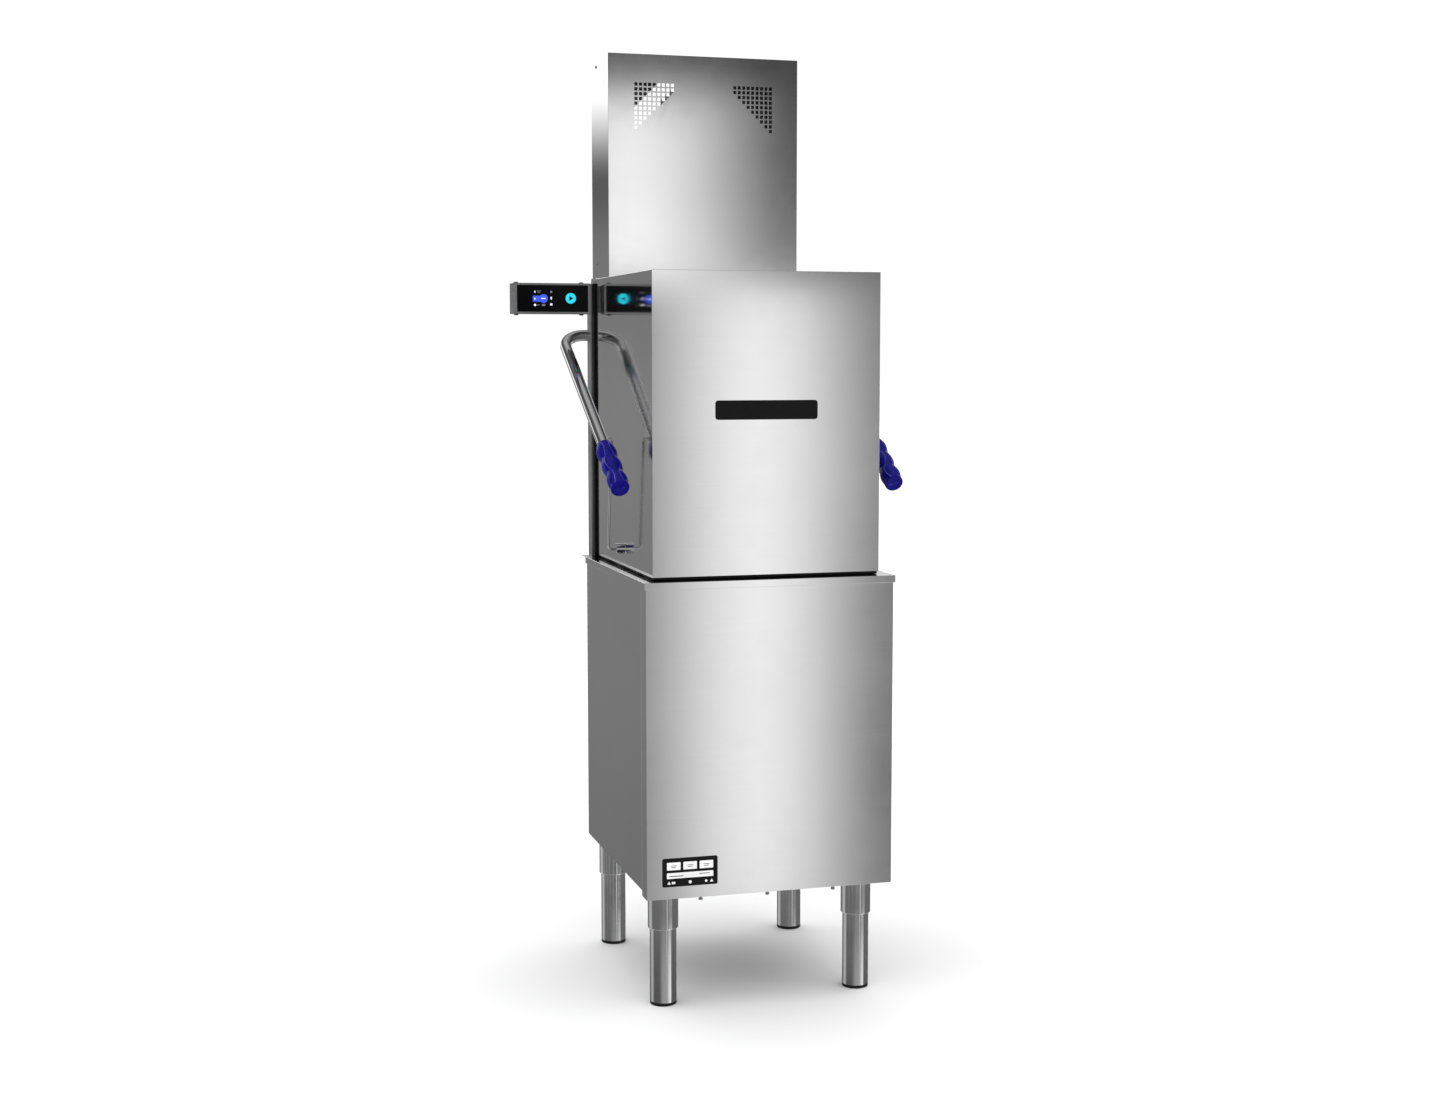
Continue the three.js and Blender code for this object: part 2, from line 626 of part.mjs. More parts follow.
// Tie plate on the columns: wide over them, narrower in front where the hood passes it.
function towerBase() {
  const wing = HOOD.halfWidth;
  const wide = { front: HOOD.back + 3, back: COLUMN.back - 2 };
  const half = TOWER.halfWidth;
  const outline = (inset) => [
    [-half + inset, TOWER.front + inset], [half - inset, TOWER.front + inset],
    [half - inset, wide.front + inset], [wing - inset, wide.front + inset],
    [wing - inset, wide.back - inset], [half - inset, wide.back - inset],
    [half - inset, TOWER.back - inset], [-half + inset, TOWER.back - inset],
    [-half + inset, wide.back - inset], [-wing + inset, wide.back - inset],
    [-wing + inset, wide.front + inset], [-half + inset, wide.front + inset],
  ];
  const top = TOWER.bottom - GAP;
  const body = prism(outline(0), COLUMN.top + GAP, top);
  const hollow = prism(outline(SHEET), COLUMN.top, top - SHEET);
  const slot = block(-STEAM_SLOT.half, STEAM_SLOT.front, top - 5, STEAM_SLOT.half, STEAM_SLOT.back,
    top + 5);
  return cut(body, hollow, slot);
}

addPair('column', column(), DULL_STEEL);
addPair('guide', guide(), BLACK);
addPart('splash_panel', splashPanel(), STEEL);
addPart('tower_base', towerBase(), STEEL);

// ---------------------------------------------------------------- exhaust tower
const GRILLE = { pitch: 12, hole: 8.4, outer: 183, top: 2229, rows: [9, 9, 8, 7, 6, 5, 4, 3, 2, 1] };
const EXHAUST_HOLE = [[-190, 2112], [120, 2112], [120, 2238], [90, 2268], [-60, 2268], [-190, 2138]];
const FAN = { y: 682, plate: 2052, radius: 84, blades: 6 };

// Two mirrored triangular fields of square holes, widest at the top and at the outer side.
function grillePunches() {
  const reach = GRILLE.hole / 2;
  const punches = [];
  GRILLE.rows.forEach((count, row) => {
    const z = GRILLE.top - reach - row * GRILLE.pitch;
    for (let i = 0; i < count; i += 1) {
      const fromMiddle = GRILLE.outer - reach - i * GRILLE.pitch;
      for (const x of [-fromMiddle, fromMiddle]) {
        punches.push(block(x - reach, TOWER.front - 1, z - reach, x + reach, TOWER.front + SHEET + 1,
          z + reach));
      }
    }
  });
  return punches;
}

function towerCover() {
  const { halfWidth, front, back, bottom, top } = TOWER;
  const shell = cut(
    block(-halfWidth, front, bottom, halfWidth, back, top),
    block(-halfWidth + SHEET, front + SHEET, bottom - 1, halfWidth - SHEET, back + 1, top - SHEET),
  );
  return cut(shell, ...grillePunches());
}

function towerRearPanel() {
  const half = TOWER.halfWidth - SHEET - GAP;
  return facade([[-half, TOWER.bottom], [half, TOWER.bottom], [half, TOWER.top - SHEET - GAP],
    [-half, TOWER.top - SHEET - GAP]], TOWER.back - 4, TOWER.back - 4 + SHEET, [EXHAUST_HOLE]);
}

// Finned block: a comb outline with upright fins on its front and rear faces.
function condenserCoil() {
  const fins = 14;
  const pitch = 440 / fins;
  const outline = [];
  for (let i = 0; i < fins; i += 1) {
    const x = -220 + i * pitch;
    outline.push([x, 606], [x + pitch * 0.45, 606], [x + pitch * 0.45, 630], [x + pitch, 630]);
  }
  outline.push([220, 630], [220, 690], [-220, 690]);
  return prism(outline, 1840, 2020);
}

function fanShroud() {
  const half = TOWER.halfWidth - SHEET - GAP;
  const plate = prism([[-half, 590], [half, 590], [half, 772], [-half, 772]], FAN.plate,
    FAN.plate + 2, [circlePoints(0, FAN.y, FAN.radius)]);
  const strut = block(-FAN.radius - 10, FAN.y - 8, FAN.plate + 1, FAN.radius + 10, FAN.y + 8,
    FAN.plate + 5);
  const motor = rod(point(0, FAN.y, FAN.plate + 4), point(0, FAN.y, FAN.plate + 34), 32, ROUND);
  return join(plate, strut, motor);
}

function fanImpeller() {
  const top = FAN.plate - 1;
  const hub = rod(point(0, FAN.y, top - 16), point(0, FAN.y, top), 24, ROUND);
  const blades = [];
  for (let i = 0; i < FAN.blades; i += 1) {
    const blade = block(20, -14, -0.8, FAN.radius - 5, 14, 0.8);
    blade.rotateX(THREE.MathUtils.degToRad(24));
    blade.rotateZ((2 * Math.PI * i) / FAN.blades);
    blades.push(blade.translate(0, FAN.y, top - 8));
  }
  return join(hub, ...blades);
}

addPart('tower_cover', towerCover(), STEEL);
addPart('tower_rear_panel', towerRearPanel(), STEEL);
addPart('condenser_coil', condenserCoil(), ALUMINIUM);
addPart('fan_shroud', fanShroud(), DULL_STEEL);
addPart('fan_impeller', fanImpeller(), BLACK);

// ---------------------------------------------------------------- control box
const BEZEL = 6;
const GLASS_DEPTH = 3;

function controlHousing() {
  const { left, right, front, back, bottom, top } = CONTROL;
  const box = block(left, front, bottom, right, back, top);
  const recess = block(left + BEZEL + 6, front - 1, bottom + BEZEL, right - BEZEL,
    front + GLASS_DEPTH + GAP, top - BEZEL);
  const pocket = rod(point(START.x, front, START.z), point(START.x, front + 12, START.z),
    START.radius + 1, ROUND);
  const bracket = block(right - 14, back - 12, bottom + 5, -COLUMN.outer - GAP, COLUMN.back - 8,
    top - 5);
  return join(cut(box, recess, pocket), bracket);
}

function controlGlass() {
  const { left, right, front, bottom, top } = CONTROL;
  const pane = block(left + BEZEL + 6 + GAP, front, bottom + BEZEL + GAP, right - BEZEL - GAP,
    front + GLASS_DEPTH, top - BEZEL - GAP);
  return cut(pane, rod(point(START.x, front - 1, START.z), point(START.x, front + 5, START.z),
    START.radius + 0.5, ROUND));
}

function startButton() {
  const { front } = CONTROL;
  return turned([[0, -1.2], [START.radius - 2, -1.2], [START.radius, -0.4], [START.radius, 8], [0, 8]],
    point(START.x, front, START.z), Y_AXIS);
}

addPart('control_housing', controlHousing(), ALUMINIUM);
addPart('control_glass', controlGlass(), BLACK_GLASS);
addPart('start_button', startButton(), CYAN);

// ---------------------------------------------------------------- hood
const BADGE = { left: -127, right: 122, bottom: 1391, top: 1436 };

function hoodShell() {
  const { halfWidth, front, back, topBack, bottom, top } = HOOD;
  const shell = cut(
    block(-halfWidth, front, bottom, halfWidth, back, top),
    block(-halfWidth + SHEET, front + SHEET, bottom - 1, halfWidth - SHEET, back + 1, top - SHEET),
    block(-halfWidth + SHEET, topBack, top - 5, halfWidth - SHEET, back + 1, top + 1),
  );
  const bosses = [-1, 1].map((side) => rod(point(side * (halfWidth - 1), LINK.bossY, LINK.bossZ),
    point(side * BOSS.reach, LINK.bossY, LINK.bossZ), BOSS.radius, ROUND));
  return join(shell, ...bosses);
}

// Inner skin, held off the shell by lips along its lower and rear edges.
function hoodLining() {
  const { halfWidth, front, back, topBack, bottom, top } = HOOD;
  const skin = SHEET + GAP;
  const inner = halfWidth - skin - LINING;
  const face = front + skin + LINING;
  const ceiling = top - skin - LINING;
  const thick = cut(
    block(-halfWidth + skin, front + skin, bottom + 6, halfWidth - skin, back - GAP, top - skin),
    block(-inner, face, bottom, inner, back + 1, ceiling),
    block(-inner, topBack, bottom, inner, back + 1, top),
  );
  const airGap = cut(
    block(-halfWidth, front, bottom + 6 + SHEET, halfWidth, back - GAP - SHEET, top),
    block(-inner - SHEET, face - SHEET, bottom, inner + SHEET, back + 1, ceiling + SHEET),
  );
  return cut(thick, airGap);
}

function hoodSeal() {
  const outside = HOOD.halfWidth - SHEET - GAP - 1;
  const width = 12;
  return cut(
    block(-outside, HOOD.front + SHEET + 1.3, RIM.top + 0.7, outside, HOOD.back - 1, HOOD.bottom + 5.7),
    block(-outside + width, HOOD.front + SHEET + 1.3 + width, RIM.top, outside - width, HOOD.back,
      HOOD.bottom + 7),
  );
}

addPart('hood_shell', hoodShell(), STEEL);
addPart('hood_lining', hoodLining(), STEEL);
addPart('hood_seal', hoodSeal(), BLACK);
addPart('badge_plate', facade(roundedRectangle(BADGE.left, BADGE.bottom, BADGE.right, BADGE.top, 7),
  HOOD.front - 2.5, HOOD.front - GAP), BLACK);

// ---------------------------------------------------------------- lifting handle
const CORNER = point(-HANDLE_CORNER, SHAFT.y, SHAFT.z);
const ARM_END = point(-GRIP_END.x, GRIP_END.y, GRIP_END.z);
const ARM_DIRECTION = ARM_END.clone().sub(CORNER).normalize();
const HANDLE_BEND = 60;
const LEVER = { length: 50, thickness: 8, width: 22 };

// The point of the left arm's axis at a given y.
function armPoint(y) {
  return CORNER.clone().lerp(ARM_END, (SHAFT.y - y) / (SHAFT.y - GRIP_END.y));
}

function acrossX(vector) {
  return point(-vector.x, vector.y, vector.z);
}

// One bent tube: two arms and the cross shaft, with a lever that the balance spring pulls on.
function liftBar() {
  const armTip = armPoint(GRIP_END.y + 8);
  const tube = sweptTube(filleted([armTip, CORNER, acrossX(CORNER), acrossX(armTip)], HANDLE_BEND, 7),
    SHAFT.radius, 16);
  const lever = block(-LEVER.thickness / 2, SHAFT.y, SHAFT.z - LEVER.width / 2, LEVER.thickness / 2,
    SPRING.y + 14, SHAFT.z + LEVER.width / 2);
  const pin = armPoint(LINK.topY);
  const bores = [pin, acrossX(pin)].map((middle) => {
    const inward = -Math.sign(middle.x);
    return rod(point(middle.x - inward * 6, middle.y, middle.z),
      point(middle.x + inward * 20, middle.y, middle.z), LINK.radius + 0.7);
  });
  return cut(join(tube, lever), ...bores);
}

// Three finger swells, a rounded end and a bore for the tube.
function grip() {
  const top = armPoint(GRIP_TOP_Y);
  const length = top.distanceTo(ARM_END);
  const bore = SHAFT.radius + GAP;
  const swell = { valley: 19.5, height: 4.8, count: 3, steps: 12 };
  const profile = [[bore, 0], [17, 0]];
  for (let i = 0; i <= swell.steps; i += 1) {
    const share = i / swell.steps;
    const wave = Math.abs(Math.sin(Math.PI * swell.count * share));
    const along = 2 + share * (length - 6);
    profile.push([swell.valley + swell.height * (i === swell.steps ? 0.4 : wave), along]);
  }
  profile.push([12, length], [0, length], [0, length - 5], [bore, length - 5], [bore, 0]);
  return turned(profile, top, ARM_DIRECTION, 16);
}

// Thin rod with its top end bent out into the arm and its lower end bent in to the hood's boss.
function linkRod() {
  const pin = armPoint(LINK.topY);
  const route = filleted([point(pin.x + 2, pin.y, pin.z), point(-LINK.x, pin.y, pin.z),
    point(-LINK.x, LINK.bossY, LINK.bossZ), point(-BOSS.reach - 0.6, LINK.bossY, LINK.bossZ)], 8, 4);
  return sweptTube(route, LINK.radius, 10);
}

function balanceSpring() {
  const stepsPerTurn = 6;
  const low = SPRING.low + SPRING.wire;
  const rise = SPRING.high - SPRING.low - 2 * SPRING.wire;
  const stations = [];
  const count = SPRING.turns * stepsPerTurn;
  for (let i = 0; i <= count; i += 1) {
    const angle = (2 * Math.PI * i) / stepsPerTurn;
    stations.push(point(SPRING.radius * Math.cos(angle), SPRING.y + SPRING.radius * Math.sin(angle),
      low + (rise * i) / count));
  }
  const hookTop = SHAFT.z - LEVER.width / 2 - GAP;
  stations.push(point(0, SPRING.y, SPRING.high + 3), point(0, SPRING.y, hookTop));
  return sweptTube(stations, SPRING.wire, 6);
}

addPart('lift_bar', liftBar(), POLISHED);
addPair('grip', grip(), BLUE);
addPair('link_rod', linkRod(), POLISHED);
addPart('balance_spring', balanceSpring(), DULL_STEEL);

// ---------------------------------------------------------------- origin at the bottom centre
const box = new THREE.Box3().setFromObject(machine);
const middle = box.getCenter(new THREE.Vector3());
machine.position.set(-middle.x, -middle.y, -box.min.z);

export default machine;
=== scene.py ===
import json
import math

import bmesh
import bpy
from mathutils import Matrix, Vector

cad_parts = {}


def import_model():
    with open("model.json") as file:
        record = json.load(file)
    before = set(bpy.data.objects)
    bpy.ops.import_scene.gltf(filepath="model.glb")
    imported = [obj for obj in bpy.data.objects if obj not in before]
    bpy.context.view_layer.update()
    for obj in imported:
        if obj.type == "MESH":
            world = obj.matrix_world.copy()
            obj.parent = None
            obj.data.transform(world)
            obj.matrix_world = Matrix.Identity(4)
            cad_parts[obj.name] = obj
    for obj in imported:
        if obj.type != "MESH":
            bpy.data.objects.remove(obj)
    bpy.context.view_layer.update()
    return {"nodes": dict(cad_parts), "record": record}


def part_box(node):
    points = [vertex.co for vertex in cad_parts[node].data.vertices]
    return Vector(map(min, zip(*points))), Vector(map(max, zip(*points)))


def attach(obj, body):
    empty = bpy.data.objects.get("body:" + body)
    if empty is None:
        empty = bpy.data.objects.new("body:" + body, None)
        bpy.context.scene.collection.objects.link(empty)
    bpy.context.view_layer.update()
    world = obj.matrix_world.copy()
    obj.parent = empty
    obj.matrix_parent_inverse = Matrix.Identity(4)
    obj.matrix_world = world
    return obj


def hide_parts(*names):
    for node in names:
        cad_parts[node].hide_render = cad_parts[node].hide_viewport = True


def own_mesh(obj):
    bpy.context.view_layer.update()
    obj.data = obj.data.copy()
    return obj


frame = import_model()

RECORD = frame["record"]
NODES = frame["nodes"]
SLOT_OF = {part["node"]: part["material_slot"] for part in RECORD["subparts"]}
BODY_OF = {node: body for body, members in RECORD["behaviour"]["bodies"].items() for node in members}
JOINT = {joint["name"]: joint for joint in RECORD["behaviour"]["joints"]}

PANEL_LOW, PANEL_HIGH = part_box("front_panel")
MIDDLE_X = (PANEL_LOW.x + PANEL_HIGH.x) / 2  # the machine's own mid-plane
FRONT_Y = PANEL_LOW.y  # the face of the front panel

X = Vector((1, 0, 0))
Y = Vector((0, 1, 0))
Z = Vector((0, 0, 1))
TURN = 2 * math.pi


def at(x, y, z):
    """A point given in millimetres from the mid-plane, the front panel's face and the floor."""
    return Vector((MIDDLE_X + x / 1000, FRONT_Y + y / 1000, z / 1000))


# ---------------------------------------------------------------- mesh helpers
SAME_PLACE = 1e-7  # metres; vertices closer than this are one
CRISP = math.radians(40)  # a fold sharper than this is rolled over


def to_object(name, bm):
    """A new object in the scene from a bmesh, which it frees."""
    bmesh.ops.recalc_face_normals(bm, faces=bm.faces)
    mesh = bpy.data.meshes.new(name)
    bm.to_mesh(mesh)
    bm.free()
    piece = bpy.data.objects.new(name, mesh)
    bpy.context.scene.collection.objects.link(piece)
    return piece


def shade(piece, sharp=35):
    """Smooth shading, with edges steeper than sharp degrees kept crisp."""
    mesh = piece.data
    mesh.shade_smooth()
    mesh.set_sharp_from_angle(angle=math.radians(sharp))
    return piece


def apply_modifiers(piece):
    """Makes what the modifiers show the piece's own mesh."""
    graph = bpy.context.evaluated_depsgraph_get()
    mesh = bpy.data.meshes.new_from_object(piece.evaluated_get(graph))
    piece.modifiers.clear()
    old = piece.data
    piece.data = mesh
    bpy.data.meshes.remove(old)
    mesh.name = piece.name
    return piece


def round_edges(piece, width, shortest=0.0):
    """Rolls every crisp edge over that is longer than shortest, as folded and machined metal has it."""
    bm = bmesh.new()
    bm.from_mesh(piece.data)
    weight = bm.edges.layers.float.new("bevel_weight_edge")
    for edge in bm.edges:
        crisp = edge.is_manifold and edge.calc_face_angle() > CRISP
        edge[weight] = 1.0 if crisp and edge.calc_length() > shortest else 0.0
    bm.to_mesh(piece.data)
    bm.free()
    bevel = piece.modifiers.new("edges", "BEVEL")
    bevel.width = width
    bevel.segments = 2
    bevel.limit_method = "WEIGHT"
    shade(piece)
    normals = piece.modifiers.new("normals", "WEIGHTED_NORMAL")
    normals.keep_sharp = True
    return apply_modifiers(piece)


def frame_of(direction):
    """Two unit vectors square to direction and to each other."""
    side = direction.cross(Z if abs(direction.z) < 0.9 else X).normalized()
    return side, side.cross(direction).normalized()


def lathe(name, profile, place, direction, steps=48):
    """Turns (radius, distance) pairs, in metres, about the line from place along direction."""
    bm = bmesh.new()
    direction = direction.normalized()
    side, up = frame_of(direction)
    rings = []
    for radius, distance in profile:
        centre = place + direction * distance
        if radius < SAME_PLACE:
            rings.append([bm.verts.new(centre)])
            continue
        ring = []
        for i in range(steps):
            angle = TURN * i / steps
            ring.append(bm.verts.new(centre + radius * (math.cos(angle) * side + math.sin(angle) * up)))
        rings.append(ring)
    for low, high in zip(rings, rings[1:]):
        bridge(bm, low, high)
    if len(rings[0]) > 1 and len(rings[-1]) > 1 and profile[0] != profile[-1]:
        bridge(bm, rings[-1], rings[0])
    bmesh.ops.remove_doubles(bm, verts=bm.verts, dist=SAME_PLACE)
    return shade(to_object(name, bm), 30)


def bridge(bm, low, high):
    """Faces between two rings, either of which may be one point."""
    steps = max(len(low), len(high))
    for i in range(steps):
        j = (i + 1) % steps
        corners = [low[i % len(low)], low[j % len(low)], high[j % len(high)], high[i % len(high)]]
        corners = list(dict.fromkeys(corners))
        if len(corners) > 2:
            bm.faces.new(corners)


def filleted(points, radius, steps):
    """The polyline through points with each inner corner rounded."""
    path = [points[0]]
    for before, corner, after in zip(points, points[1:], points[2:]):
        start = (before - corner).normalized()
        end = (after - corner).normalized()
        half = start.angle(end) / 2
        reach = radius / math.tan(half)
        centre = corner + (start + end).normalized() * radius / math.sin(half)
        first = corner + start * reach - centre
        last = corner + end * reach - centre
        turn = first.angle(last)
        for i in range(steps + 1):
            t = i / steps
            share = math.sin((1 - t) * turn) / math.sin(turn), math.sin(t * turn) / math.sin(turn)
            path.append(centre + first * share[0] + last * share[1])
    path.append(points[-1])
    return path


def sweep(name, path, radius, sides, rounding=0.0008):
    """A round bar along path, with its ends rolled over."""
    bm = bmesh.new()
    tangents = []
    for i in range(len(path)):
        ahead = path[min(i + 1, len(path) - 1)]
        behind = path[max(i - 1, 0)]
        tangents.append((ahead - behind).normalized())
    side, _ = frame_of(tangents[0])
    rings = []
    for centre, tangent in zip(path, tangents):
        side = (side - tangent * side.dot(tangent)).normalized()
        up = tangent.cross(side)
        angles = [TURN * i / sides for i in range(sides)]
        circle = [math.cos(angle) * side + math.sin(angle) * up for angle in angles]
        rings.append((centre, tangent, circle))
    start, start_tangent, start_circle = rings[0]
    end, end_tangent, end_circle = rings[-1]
    loops = [ring_at(bm, start, start_circle, radius - rounding),
             ring_at(bm, start + start_tangent * rounding, start_circle, radius)]
    for place, _, circle in rings[1:-1]:
        loops.append(ring_at(bm, place, circle, radius))
    loops.append(ring_at(bm, end - end_tangent * rounding, end_circle, radius))
    loops.append(ring_at(bm, end, end_circle, radius - rounding))
    for low, high in zip(loops, loops[1:]):
        bridge(bm, low, high)
    bm.faces.new(loops[0])
    bm.faces.new(loops[-1])
    return shade(to_object(name, bm), 35)


def ring_at(bm, centre, circle, radius):
    return [bm.verts.new(centre + radius * offset) for offset in circle]


def plate(name, outline, place, across, up, thickness):
    """A flat plate: outline in metres along across and up from place, thickness along across x up."""
    bm = bmesh.new()
    depth = across.cross(up) * thickness
    low = [bm.verts.new(place + across * a + up * b) for a, b in outline]
    high = [bm.verts.new(v.co + depth) for v in low]
    bridge(bm, low, high)
    bm.faces.new(low)
    bm.faces.new(high)
    return to_object(name, bm)


def rounded_box(width, height, radius, steps=5):
    """The outline of a rectangle about the origin with rounded corners."""
    points = []
    for k, (sx, sy) in enumerate(((1, 1), (-1, 1), (-1, -1), (1, -1))):
        cx = sx * (width / 2 - radius)
        cy = sy * (height / 2 - radius)
        for i in range(steps + 1):
            angle = TURN / 4 * (k + i / steps)
            points.append((cx + radius * math.cos(angle), cy + radius * math.sin(angle)))
    return points


def disc(radius, steps=40):
    angles = [TURN * i / steps for i in range(steps)]
    return [(radius * math.cos(angle), radius * math.sin(angle)) for angle in angles]


# ---------------------------------------------------------------- materials
class Look:
    """One material: a Principled shader and the procedural nodes that feed it."""

    def __init__(self, name, metallic=0.0, specular=0.5):
        self.material = bpy.data.materials.new(name)
        self.material.use_nodes = True
        self.nodes = self.material.node_tree.nodes
        self.links = self.material.node_tree.links
        self.shader = self.nodes["Principled BSDF"]
        self.shader.inputs["Metallic"].default_value = metallic
        self.shader.inputs["Specular IOR Level"].default_value = specular
        self.places = self.nodes.new("ShaderNodeTexCoord")

    def noise(self, scale, detail=3.0, roughness=0.5):
        """Noise in object space; scale is one number or one per axis, in waves per metre."""
        stretch = self.nodes.new("ShaderNodeMapping")
        per_axis = scale if isinstance(scale, tuple) else (scale, scale, scale)
        stretch.inputs["Scale"].default_value = per_axis
        self.links.new(self.places.outputs["Object"], stretch.inputs["Vector"])
        noise = self.nodes.new("ShaderNodeTexNoise")
        noise.inputs["Scale"].default_value = 1.0
        noise.inputs["Detail"].default_value = detail
        noise.inputs["Roughness"].default_value = roughness
        self.links.new(stretch.outputs["Vector"], noise.inputs["Vector"])
        return noise.outputs["Fac"]

    def spread(self, source, low, high, start=0.3, end=0.7):
        """Maps source from start..end to low..high."""
        node = self.nodes.new("ShaderNodeMapRange")
        node.inputs["From Min"].default_value = start
        node.inputs["From Max"].default_value = end
        node.inputs["To Min"].default_value = low
        node.inputs["To Max"].default_value = high
        self.links.new(source, node.inputs["Value"])
        return node.outputs["Result"]

    def combine(self, first, second, operation="MULTIPLY"):
        node = self.nodes.new("ShaderNodeMath")
        node.operation = operation
        for socket, value in zip(node.inputs, (first, second)):
            if isinstance(value, float):
                socket.default_value = value
            else:
                self.links.new(value, socket)
        return node.outputs["Value"]

    def choose(self, share, first, second):
        """first where share is 0, second where it is 1."""
        node = self.nodes.new("ShaderNodeMix")
        node.data_type = "FLOAT"
        self.links.new(share, node.inputs["Factor"])
        self.links.new(first, node.inputs["A"])
        self.links.new(second, node.inputs["B"])
        return node.outputs["Result"]

    def colours(self, source, *stops):
        """A colour ramp through (position, (r, g, b)) stops."""
        ramp = self.nodes.new("ShaderNodeValToRGB")
        elements = ramp.color_ramp.elements
        while len(elements) < len(stops):
            elements.new(0.5)
        for element, (position, colour) in zip(elements, stops):
            element.position = position
            element.color = (*colour, 1)
        self.links.new(source, ramp.inputs["Fac"])
        return ramp.outputs["Color"]

    def edges(self):
        """Near 1 along outer edges, 0 elsewhere."""
        geometry = self.nodes.new("ShaderNodeNewGeometry")
        return self.spread(geometry.outputs["Pointiness"], 0.0, 1.0, 0.52, 0.60)

    def flatness(self):
        """1 on level faces, 0 on upright ones."""
        parts = self.nodes.new("ShaderNodeSeparateXYZ")
        self.links.new(self.places.outputs["Normal"], parts.inputs["Vector"])
        steep = self.combine(parts.outputs["Z"], parts.outputs["Z"])
        return self.spread(steep, 0.0, 1.0, 0.4, 0.6)

    def attribute(self, name):
        node = self.nodes.new("ShaderNodeAttribute")
        node.attribute_name = name
        return node.outputs["Fac"]

    def feed(self, socket, source):
        self.links.new(source, self.shader.inputs[socket])

    def bump(self, source, height):
        """height is in metres."""
        node = self.nodes.new("ShaderNodeBump")
        node.inputs["Strength"].default_value = 1.0
        node.inputs["Distance"].default_value = height
        self.links.new(source, node.inputs["Height"])
        self.links.new(node.outputs["Normal"], self.shader.inputs["Normal"])


def tinted(colour, factor):
    return tuple(channel * factor for channel in colour)


def brushed_metal(name, colour, smooth, rough, grain=2400.0):
    """Sheet with a grain that runs level on upright faces and along X on level ones."""
    look = Look(name, metallic=1.0)
    level = look.flatness()
    fine = look.choose(level, look.noise((6.0, 6.0, grain)), look.noise((6.0, grain, 6.0)))
    coarse = look.choose(level, look.noise((1.5, 1.5, grain / 9)), look.noise((1.5, grain / 9, 1.5)))
    grain_mix = look.combine(look.combine(fine, 0.8), look.combine(coarse, 0.2), "ADD")
    clouds = look.noise(2.6, 4.0)
    smudges = look.noise(17.0, 5.0, 0.65)
    tone = look.combine(look.spread(grain_mix, 0.0, 0.5), look.spread(clouds, 0.0, 0.5), "ADD")
    tone = look.combine(tone, look.combine(look.edges(), 0.35), "ADD")
    look.feed("Base Color", look.colours(tone, (0.0, tinted(colour, 0.96)), (0.5, colour),
                                         (1.0, tinted(colour, 1.05))))
    roughness = look.combine(look.spread(clouds, smooth, rough), look.spread(smudges, 0.93, 1.10))
    roughness = look.combine(roughness, look.spread(fine, 0.92, 1.08))
    look.feed("Roughness", roughness)
    look.bump(grain_mix, 0.0000004)
    return look.material


def plain_metal(name, colour, smooth, rough):
    """Rolled or cast metal: clouded, faintly pitted, brighter along its edges."""
    look = Look(name, metallic=1.0)
    clouds = look.noise(9.0, 5.0)
    pits = look.noise(900.0, 3.0)
    tone = look.combine(look.spread(clouds, 0.0, 0.8), look.combine(look.edges(), 0.4), "ADD")
    look.feed("Base Color", look.colours(tone, (0.0, tinted(colour, 0.82)), (0.6, colour),
                                         (1.0, tinted(colour, 1.2))))
    look.feed("Roughness", look.combine(look.spread(clouds, smooth, rough), look.spread(pits, 0.9, 1.12)))
    look.bump(pits, 0.00002)
    return look.material


def polished_metal(name, colour, smooth, rough):
    """Ground and polished bar or tube, with faint rings left by the polishing belt."""
    look = Look(name, metallic=1.0)
    marks = look.noise((40.0, 40.0, 2600.0), 2.0)
    haze = look.noise(14.0, 4.0)
    tone = look.combine(look.spread(marks, 0.0, 0.5), look.spread(haze, 0.0, 0.5), "ADD")
    look.feed("Base Color", look.colours(tone, (0.0, tinted(colour, 0.93)), (1.0, tinted(colour, 1.05))))
    look.feed("Roughness", look.combine(look.spread(haze, smooth, rough), look.spread(marks, 0.9, 1.1)))
    look.bump(marks, 0.0000015)
    return look.material


def moulded(name, colour, smooth, rough, grain=2200.0, relief=0.00004, patches=18.0, specular=0.5,
            pale_edge_and_seam_highlight=None):
    """Moulded plastic or rubber: a fine skin texture, cloudy gloss, and paler edges.

    The optional colour at the end is that of the paler edges, and of the painted highlight along the mould
    lines where the mesh marks any.
    """
    look = Look(name, specular=specular)
    skin = look.noise(grain, 2.0)
    clouds = look.noise(patches, 4.0)
    tone = look.combine(look.spread(clouds, 0.0, 0.4), look.combine(look.edges(), 0.5), "ADD")
    tone = look.combine(tone, look.spread(skin, 0.0, 0.1), "ADD")
    if pale_edge_and_seam_highlight:
        # painted highlight: the mould lines marked in the mesh are painted paler
        tone = look.combine(tone, look.combine(look.attribute(SEAM_MARK), 0.8), "ADD")
    look.feed("Base Color", look.colours(tone, (0.0, tinted(colour, 0.85)), (0.5, colour),
                                         (1.0, pale_edge_and_seam_highlight or tinted(colour, 1.35))))
    look.feed("Roughness", look.combine(look.spread(clouds, smooth, rough), look.spread(skin, 0.92, 1.08)))
    look.bump(skin, relief)
    return look.material


def lit(name, colour, strength):
    """A backlit printed area behind the glass, slightly uneven as such screens are."""
    look = Look(name)
    glow = look.noise(60.0, 2.0)
    colour_out = look.colours(look.spread(glow, 0.0, 1.0), (0.0, tinted(colour, 0.88)), (1.0, colour))
    look.feed("Base Color", colour_out)
    look.feed("Emission Color", colour_out)
    look.shader.inputs["Emission Strength"].default_value = strength
    look.feed("Roughness", look.spread(glow, 0.12, 0.2))
    return look.material


